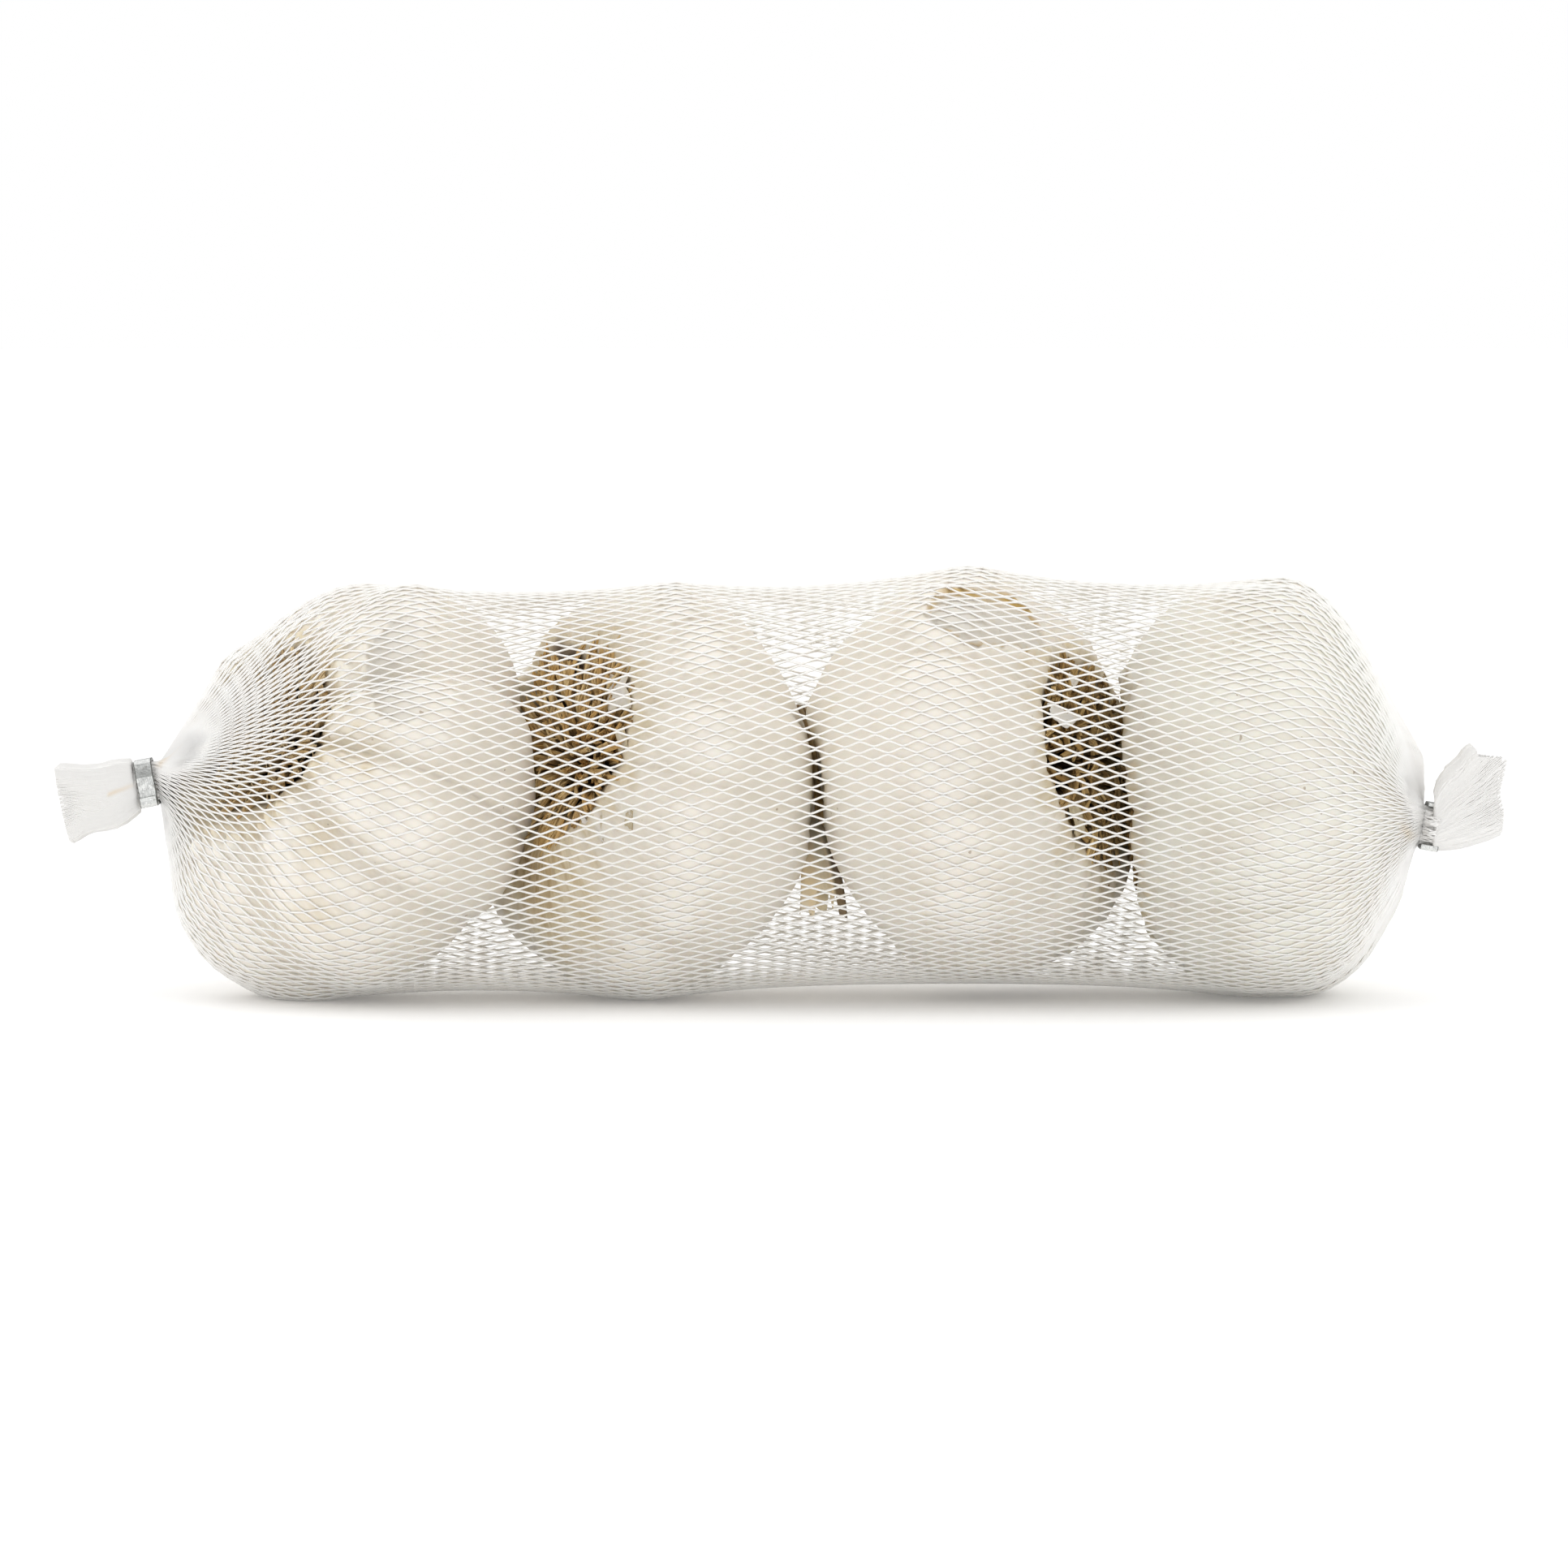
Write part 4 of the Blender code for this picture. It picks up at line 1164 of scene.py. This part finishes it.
coarse = hold_ends(straight_tube(COARSE_RINGS, COARSE_AROUND), 0)
coarse = settle(coarse, COARSE_RINGS, COARSE_AROUND, COARSE_STEPS, COARSE_SLACK)
sleeve = finer(coarse.reshape(COARSE_RINGS, COARSE_AROUND, 3), FINE_RINGS, MESHES_AROUND)
sleeve = settle(hold_ends(sleeve, PLEAT_DEPTH), FINE_RINGS, MESHES_AROUND, FINE_STEPS, FINE_SLACK)
sleeve = sleeve.reshape(FINE_RINGS, MESHES_AROUND, 3)
print("sleeve in mm:", (sleeve.min((0, 1)) / MM).round(1), (sleeve.max((0, 1)) / MM).round(1))

# %% [markdown]
# ## Tails
# Beyond each clip the gathered net is a flat, soft tail. The left one was cut straight and slanting. The
# right one is crumpled and frayed, and its front layer comes out over the open side of the clip. A tail is
# a patch between four drawn edges, seen from the front, with a front and a back layer.

# %% Tail outlines, as x and z in mm
# steps: where its rings are, as shares of the way out. depth: half of it, at the clip and at the cut. fold
# and folds: how high and how many. bulge: how far the net stands out of the open front of its clip.
Tail = namedtuple(
    "Tail", "clip lean spread side top bottom start end steps depth fold folds crumple bulge seed"
)
LEFT_TAIL = Tail(
    LEFT_CLIP, LEFT_LEAN, LEFT_SPREAD, -1,
    ((-88.0, 32.2), (-90.4, 32.1), (-92.2, 31.5), (-94.7, 31.3), (-96.5, 31.5), (-97.7, 31.5)),
    ((-86.8, 25.3), (-87.9, 24.3), (-89.4, 23.2), (-91.6, 22.7), (-93.6, 22.5), (-94.7, 21.7),
     (-95.8, 21.1)),
    ((-86.8, 25.3), (-88.0, 32.2)),
    ((-95.8, 21.1), (-96.3, 21.4), (-96.8, 23.3), (-97.3, 25.6), (-97.8, 28.0), (-98.1, 30.2), (-98.2, 31.1),
     (-97.7, 31.5)),
    (0.02, 0.12, 0.25, 0.38, 0.50, 0.62, 0.75, 0.88, 1.0), (1.6 * MM, 2.4 * MM), 0.05 * MM, 13,
    0.02 * MM, 0.0, 31,
)
RIGHT_TAIL = Tail(
    RIGHT_CLIP, RIGHT_LEAN, RIGHT_SPREAD, 1,
    ((87.5, 28.6), (88.1, 30.6), (89.3, 32.0), (90.7, 33.1), (91.6, 34.5), (92.4, 34.9)),
    ((87.3, 20.9), (89.0, 20.8), (91.1, 21.1), (93.3, 21.7), (95.2, 22.3), (96.2, 22.9)),
    ((87.3, 20.9), (87.1, 24.0), (87.5, 28.6)),
    ((96.2, 22.9), (96.6, 24.0), (96.7, 26.3), (96.1, 28.5), (96.5, 30.6), (97.0, 33.0), (94.9, 33.3),
     (93.2, 33.4), (92.9, 34.4), (92.4, 34.9)),
    (0.02, 0.14, 0.26, 0.38, 0.50, 0.62, 0.75, 0.88, 1.0), (2.9 * MM, 2.6 * MM), 0.12 * MM, 6,
    0.03 * MM, 2.1 * MM, 32,
)


# %% A patch between four drawn edges
def on_line(corners, share):
    """Points at equal steps of the corners, at each share from 0 to 1."""
    corners = mm(*corners)
    at = np.linspace(0, 1, len(corners))
    return np.stack([np.interp(share, at, corners[:, 0]), np.interp(share, at, corners[:, 1])], -1)


def tail_patch(tail, up, out):
    """A point of the patch between the four edges: up from bottom to top, out from clip to cut."""
    up, out = np.broadcast_arrays(up, out)
    u, t = up[:, None], out[:, None]
    sides = (1 - u) * on_line(tail.bottom, out) + u * on_line(tail.top, out)
    ends = (1 - t) * on_line(tail.start, up) + t * on_line(tail.end, up)
    corner = mm(tail.bottom[0], tail.top[0], tail.bottom[-1], tail.top[-1])
    flat = (1 - u) * (1 - t) * corner[0] + u * (1 - t) * corner[1]
    flat = flat + (1 - u) * t * corner[2] + u * t * corner[3]
    return sides + ends - flat


# %% Rings of a tail and of its neck
def tail_ring(tail, out, ring):
    """A ring of knots of a tail, at a share out of the way from the clip to the cut."""
    angle = ring_angles(ring, MESHES_AROUND)
    flat = tail_patch(tail, 0.5 + 0.5 * np.sin(angle), np.full(MESHES_AROUND, out))
    depth = np.interp(out, (0, 1), tail.depth)
    draw = np.random.default_rng(tail.seed)
    folds = np.zeros(MESHES_AROUND)
    for count in (tail.folds, tail.folds + 4, 2 * tail.folds + 3):
        folds += np.sin(count * angle + draw.uniform(0, TURN) + 3.0 * out * draw.uniform(-1, 1)) / 2
    front = -np.sign(np.cos(angle))
    y = tail.clip[1] - (depth * np.abs(np.cos(angle)) ** 0.6 + tail.fold * folds * (0.4 + 0.6 * out)) * front
    knots = np.stack([flat[:, 0], y, flat[:, 1]], 1)
    beyond = tail.clip[0] + tail.side * (STRIP_WIDTH / 2 + 0.6 * MM)
    behind = (front < 0) & (tail.side * (knots[:, 0] - beyond) < 0)
    knots[behind, 0] = beyond  # the back layer leaves by the clip's side
    return knots + np.random.default_rng(tail.seed + ring % 100).normal(0, tail.crumple, knots.shape)


def neck_ring(tail, along, ring):
    """A ring inside a clip. The front of the net bulges and crumples where the clip is open."""
    knots = clip_section(tail.clip, tail.lean, tail.spread, along, ring, MESHES_AROUND, PLEAT_DEPTH)
    out = np.clip((tail.clip[1] - knots[:, 1]) / CLIP_HALF_DEPTH, 0, 1)
    rough = np.random.default_rng(tail.seed + 7 + ring % 100).uniform(-0.45, 0.45, MESHES_AROUND)
    knots[:, 1] -= tail.bulge * eased(out, 0.2, 0.8) * (1 + rough)
    return knots


def tail_rings(tail, alongs, first, step):
    """The rings of a neck and its tail, outwards from the sleeve. Each has the next number."""
    found = [neck_ring(tail, along, first + k * step) for k, along in enumerate(alongs)]
    first += len(alongs) * step
    return found + [tail_ring(tail, out, first + k * step) for k, out in enumerate(tail.steps)]


# %% All rings of knots
assert FINE_RINGS % 2 == 1
left = tail_rings(LEFT_TAIL, (0.0, -sleeve_start), -1, -1)
right = tail_rings(RIGHT_TAIL, (-0.5 * sleeve_start, 0.0, 0.4 * sleeve_start), FINE_RINGS, 1)
before = len(left)  # rings to the left of the sleeve
knots = np.concatenate([np.stack(left[::-1]), sleeve, np.stack(right)])
print("rings of knots:", len(knots))

# %% [markdown]
# ## Threads
# Each thread of the tube runs from end to end in a zigzag. At every knot it touches the thread beside it,
# first the one above and then the one below, and between them it is nearly straight, so the holes are
# pointed diamonds. A thread is a curve with a small bevel, and 50 side by side make one mesh, a quarter.

# %% Waves from knot to knot
STEPS_PER_ARM = 3
ROUNDING = 0.35  # 0 is a zigzag and 1 a full wave
KNOT_GAP = 0.095 * MM  # from a knot's middle to the middle of each of its threads
KNOT_SWELL = 0.06  # how much thicker a thread is at its knots
GATHERED_SWELL = 0.8  # and where the net is gathered
LEAST_THREAD = 0.74  # share of its thickness where the meshes are half closed, beside the clips
THREADS = 2 * MESHES_AROUND
QUARTERS = ("front", "top", "back", "under")


def thread_points(k):
    """Points along thread k, which swings between the half places k and k + 1, and the pitch there."""
    rings = np.arange(len(knots)) - before
    place = np.where(rings % 2 == k % 2, k, k + 1)
    column = (place // 2) % MESHES_AROUND
    row = np.arange(len(knots))
    at = knots[row, column]
    around = knots[row, (column + 1) % MESHES_AROUND] - knots[row, (column - 1) % MESHES_AROUND]
    pitch = np.linalg.norm(around, axis=1) / 2
    around = unit_rows(around)
    side = np.where(place == k, 1.0, -1.0)
    at = at + around * (side * np.minimum(KNOT_GAP, 0.22 * pitch))[:, None]
    step = at[1:] - at[:-1]
    lateral = unit_rows(around[1:] + around[:-1])
    swing = (step * lateral).sum(1)[:, None] * lateral
    t = (np.arange(STEPS_PER_ARM) / STEPS_PER_ARM)[None, :, None]
    wave = (1 - np.cos(math.pi * t)) / 2
    points = at[:-1, None] + step[:, None] * t + swing[:, None] * (ROUNDING * (wave - t))
    points = np.concatenate([points.reshape(-1, 3), at[-1:]])
    rows = np.arange(len(points)) / STEPS_PER_ARM
    return points, 2 * np.interp(rows, row, pitch)


# %% Four pieces of net
def gathered(points, near, far):
    """1 on the tails and within near of a clip's middle, and 0 beyond far."""
    share = ((points[:, 0] < LEFT_CLIP[0]) | (points[:, 0] > RIGHT_CLIP[0])).astype(float)
    for clip in (LEFT_CLIP, RIGHT_CLIP):
        share = np.maximum(share, 1 - eased(np.linalg.norm(points - clip, axis=1), near, far))
    return share


def thread_curve(name, numbers):
    data = bpy.data.curves.new(name, "CURVE")
    data.dimensions = "3D"
    data.bevel_depth = THREAD_RADIUS
    data.bevel_resolution = 0
    data.use_fill_caps = True
    for k in numbers:
        points, pitch = thread_points(k)
        points -= shift
        swell = 1 + GATHERED_SWELL * (1 - eased(pitch, 0.5 * MM, 1.1 * MM))
        swell *= LEAST_THREAD + (1 - LEAST_THREAD) * eased(pitch, 1.2 * MM, 1.75 * MM)
        spline = data.splines.new("POLY")
        spline.points.add(len(points) - 1)
        spline.points.foreach_set("co", np.c_[points, np.ones(len(points))].astype(np.float32).ravel())
        beat = np.cos(np.arange(len(points)) / STEPS_PER_ARM * TURN)
        swell = swell * (1 + KNOT_SWELL * (0.5 + 0.5 * beat))
        spline.points.foreach_set("radius", swell.astype(np.float32))
    return placed(name, data)


def as_mesh(piece):
    pick(piece)
    bpy.ops.object.convert(target="MESH")
    bpy.ops.object.shade_smooth()
    return bpy.context.object


quarter = THREADS // len(QUARTERS)
net_pieces = []
for q, where in enumerate(QUARTERS):
    curve = thread_curve("net_" + where, range(q * quarter, (q + 1) * quarter))
    net_pieces.append(as_mesh(curve))
print("net faces:", {piece.name: len(piece.data.polygons) for piece in net_pieces})

# %% [markdown]
# ## Net finish
# The thread is white plastic, half matt, and light comes through it, which is why the net looks pale even
# where it is seen edge on. Where it is gathered into the clips it is a dense white bundle instead, and a
# little of the bulbs' tan dust has rubbed off on it. Both are values on the points of the mesh.

# %% White thread
TINTS = (  # streaks of tan dust: from, to, half width, all in mm, seen from the front
    ((-84.2, 31.6), (-76.5, 40.5), 0.40),
    ((-87.4, 29.0), (-90.8, 27.7), 0.30),
    ((82.8, 24.4), (84.2, 22.8), 0.60),
)
GATHERED_WHITE = (0.90, 0.89, 0.87)
DUST = (0.82, 0.68, 0.50)


def from_streak(points, start, end):
    """Distance of each point from a streak, seen from the front."""
    start, end = mm(*start), mm(*end)
    flat = points[:, (0, 2)]
    t = ((flat - start) @ (end - start) / ((end - start) @ (end - start))).clip(0, 1)
    return np.linalg.norm(flat - start - t[:, None] * (end - start), axis=1)


def mark_thread(piece):
    points = places(piece) + shift
    set_values(piece, "open", 1 - gathered(points, 4 * MM, 9.5 * MM))
    tint = sum(hill(from_streak(points, start, end), width * MM) for start, end, width in TINTS)
    set_values(piece, "tint", (tint * (points[:, 1] < RIGHT_CLIP[1] + 8 * MM)).clip(0, 1))


material, tree, shader = new_material("white_net_thread", 0.42)
place = object_place(tree)
cloud = noise(tree, place, 260.0, 3.0)
white = mixed(tree, ranged(tree, cloud, 0.35, 0.65), (0.945, 0.92, 0.88), (0.91, 0.88, 0.835))
white = mixed(tree, value_of(tree, "open"), GATHERED_WHITE, white)
dusty = product(tree, value_of(tree, "tint"), ranged(tree, cloud, 0.3, 0.7, 0.15, 0.6))
tree.links.new(mixed(tree, dusty, white, DUST), shader.inputs["Base Color"])
bumped(tree, shader, noise(tree, place, 4000.0, 2.0), 0.03 * MM, 0.5)
tree.links.new(ranged(tree, value_of(tree, "open"), 0, 1, 0, 0.9), shader.inputs["Subsurface Weight"])
shader.inputs["Subsurface Radius"].default_value = (1.0, 1.0, 1.0)
shader.inputs["Subsurface Scale"].default_value = 0.25 * MM
for piece in net_pieces:
    mark_thread(piece)
    piece.data.materials.append(material)
print("net:", material.name)

# %% [markdown]
# ## Clips
# The clips are the frame's own nodes. They are soft aluminium strip, rolled dull, with marks of the jaws
# that closed them: streaks along the strip, small dents and darker grime in the hollows.

# %% Clip metal
BRIGHT, DULL, SHADED = (0.88, 0.89, 0.87), (0.54, 0.55, 0.54), (0.26, 0.27, 0.26)
# the last colour is a painted dark reflection along both edges of the strip, where its bevels would mirror
# dark
GRIME, BEVEL_DARK_REFLECTION = (0.20, 0.18, 0.14), (0.07, 0.07, 0.06)


def clip_metal(name, centre, lean, crease):
    """crease: height of a fold above the clip's middle. Over it the metal is dark, and paler to the top."""
    material, tree, shader = new_material(name, 0.34)
    shader.inputs["Metallic"].default_value = 1.0
    place = object_place(tree)
    own = add_node(tree, "ShaderNodeMapping", {"Vector": place}, vector_type="TEXTURE")
    own.inputs["Location"].default_value = centre - shift
    own.inputs["Rotation"].default_value = (0, lean, 0)  # now x runs across the strip, z up the clip
    own = own.outputs["Vector"]
    across = add_node(tree, "ShaderNodeSeparateXYZ", {"Vector": own}).outputs
    along_strip = add_node(tree, "ShaderNodeMapping", {"Vector": own, "Scale": (3200.0, 3200.0, 420.0)})
    streaks = noise(tree, along_strip.outputs["Vector"], 5.0, 3.0)
    dents = noise(tree, place, 1100.0, 2.0)
    shade = ranged(tree, across["Z"], crease, 1.02 * CLIP_HALF_HEIGHT, 0.62, 0.0)
    above = math_node(tree, "GREATER_THAN", across["Z"], crease)
    aside = math_node(tree, "ABSOLUTE", across["X"])
    colour = layered(
        tree, BRIGHT,
        (ranged(tree, streaks, 0.35, 0.65), DULL),
        (product(tree, shade, above), SHADED),
        (ranged(tree, dents, 0.60, 0.72, 0, 0.7), GRIME),
        # painted dark reflection along both edges of the strip
        (ranged(tree, aside, STRIP_WIDTH / 2 - 0.16 * MM, STRIP_WIDTH / 2 - 0.04 * MM, 0, 0.9), BEVEL_DARK_REFLECTION),
    )
    tree.links.new(colour, shader.inputs["Base Color"])
    tree.links.new(ranged(tree, streaks, 0.3, 0.7, 0.22, 0.44), shader.inputs["Roughness"])
    bumped(tree, shader, dents, 0.14 * MM, 0.8)
    return material


CREASE_HEIGHT = 0.9 * MM
metals = {
    "clip_left": clip_metal("clip_metal_left", LEFT_CLIP, LEFT_LEAN, CREASE_HEIGHT),
    "clip_right": clip_metal("clip_metal_right", RIGHT_CLIP, RIGHT_LEAN, CREASE_HEIGHT),
}
for name, metal in metals.items():
    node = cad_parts[name]
    node.data.materials.clear()
    node.data.materials.append(metal)
print("clips:", list(metals))

# %% [markdown]
# ## What moves and what is replaced
# The bulbs, roots and threads stand for the node `net`, and all ride on the one body.

# %% Ride and replace
bpy.data.objects.remove(stub)
slots = {"garlic_skin": [*bulbs, *flakes, *stems], "dried_root": tufts, "net": net_pieces}
for slot, pieces in slots.items():
    for piece in pieces:
        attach(piece, "root")
        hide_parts("net")
print("pieces:", {slot: len(pieces) for slot, pieces in slots.items()})

# %% [markdown]
# ## Floor, light and camera
# The photograph is a pack shot on pure white, lit from all round and most from above. A white sky lights
# the object, a wide lamp overhead gives its top the most light, and the floor is white enough to vanish.

# %% Floor
FLOOR_GLOW = 0.10  # the white table is lit from inside, which keeps the shadow pale
deselect()
bpy.ops.mesh.primitive_plane_add(size=8)
floor = added("floor")
material, tree, shader = new_material("white_floor", 0.9)
shader.inputs["Base Color"].default_value = (0.95, 0.95, 0.95, 1)
shader.inputs["Specular IOR Level"].default_value = 0.0
shader.inputs["Emission Color"].default_value = (1, 1, 1, 1)
shader.inputs["Emission Strength"].default_value = FLOOR_GLOW
floor.data.materials.append(material)
print("floor:", floor.name)

# %% Light
SKY_ABOVE, SKY_LEVEL, SKY_FRONT, SKY_SIDE = 1.0, 1.15, 0.82, 1.35
world = bpy.context.scene.world or bpy.data.worlds.new("studio")
bpy.context.scene.world = world
world.use_nodes = True
tree = world.node_tree
tree.nodes.clear()
way = add_node(tree, "ShaderNodeTexCoord").outputs["Generated"]
split = add_node(tree, "ShaderNodeSeparateXYZ", {"Vector": way}).outputs
height = ranged(tree, split["Z"], -0.1, 0.7, SKY_LEVEL, SKY_ABOVE)
front = ranged(tree, split["Y"], -0.95, -0.45, SKY_FRONT / SKY_LEVEL, 1.0)
side = ranged(tree, math_node(tree, "ABSOLUTE", split["X"]), 0.55, 0.90, 1.0, SKY_SIDE)
strength = math_node(tree, "MULTIPLY", math_node(tree, "MULTIPLY", height, front), side)
clutter = noise(tree, way, 2.2, 1.0)
mirrored = ranged(tree, clutter, 0.42, 0.58, 0.15, 1.25)  # lamps and dark studio, as the metal mirrors them
rays = add_node(tree, "ShaderNodeLightPath").outputs
for ray, level in (("Is Glossy Ray", mirrored), ("Is Camera Ray", 1.0)):
    inputs = {0: rays[ray], 2: strength, 3: level}
    strength = add_node(tree, "ShaderNodeMix", inputs, data_type="FLOAT").outputs[0]
background = add_node(tree, "ShaderNodeBackground", {"Color": (1, 1, 1, 1), "Strength": strength})
add_node(tree, "ShaderNodeOutputWorld", {"Surface": background.outputs[0]})

lamp_data = bpy.data.lights.new("overhead", "AREA")
lamp_data.shape = "RECTANGLE"
lamp_data.size, lamp_data.size_y = 0.9, 0.6
lamp_data.energy = 1.0
lamp = placed("overhead", lamp_data)
lamp.location = (0.0, -0.15, 0.8)
lamp.rotation_euler = (math.radians(-10), 0, 0)
bpy.context.scene.view_settings.view_transform = "Standard"
print("light:", lamp.name)

# %% Camera
CAMERA_DISTANCE = 0.9
CAMERA_HEIGHT_ANGLE = math.radians(5)
AIM = mm(0.30, 0.61, 28.8) - shift
PHOTO_WIDTH = 1932 * 0.110 * MM  # real width of the photograph's frame at the object
SENSOR = 36.0
camera_data = bpy.data.cameras.new("camera")
camera_data.sensor_width = SENSOR
camera_data.lens = SENSOR * CAMERA_DISTANCE / PHOTO_WIDTH
camera_data.clip_start = 0.01
camera = placed("camera", camera_data)
back = np.array((0, -math.cos(CAMERA_HEIGHT_ANGLE), math.sin(CAMERA_HEIGHT_ANGLE)))
camera.location = AIM + CAMERA_DISTANCE * back
camera.rotation_euler = (math.radians(90) - CAMERA_HEIGHT_ANGLE, 0, 0)
bpy.context.scene.camera = camera
print("lens in mm:", round(camera_data.lens, 1))
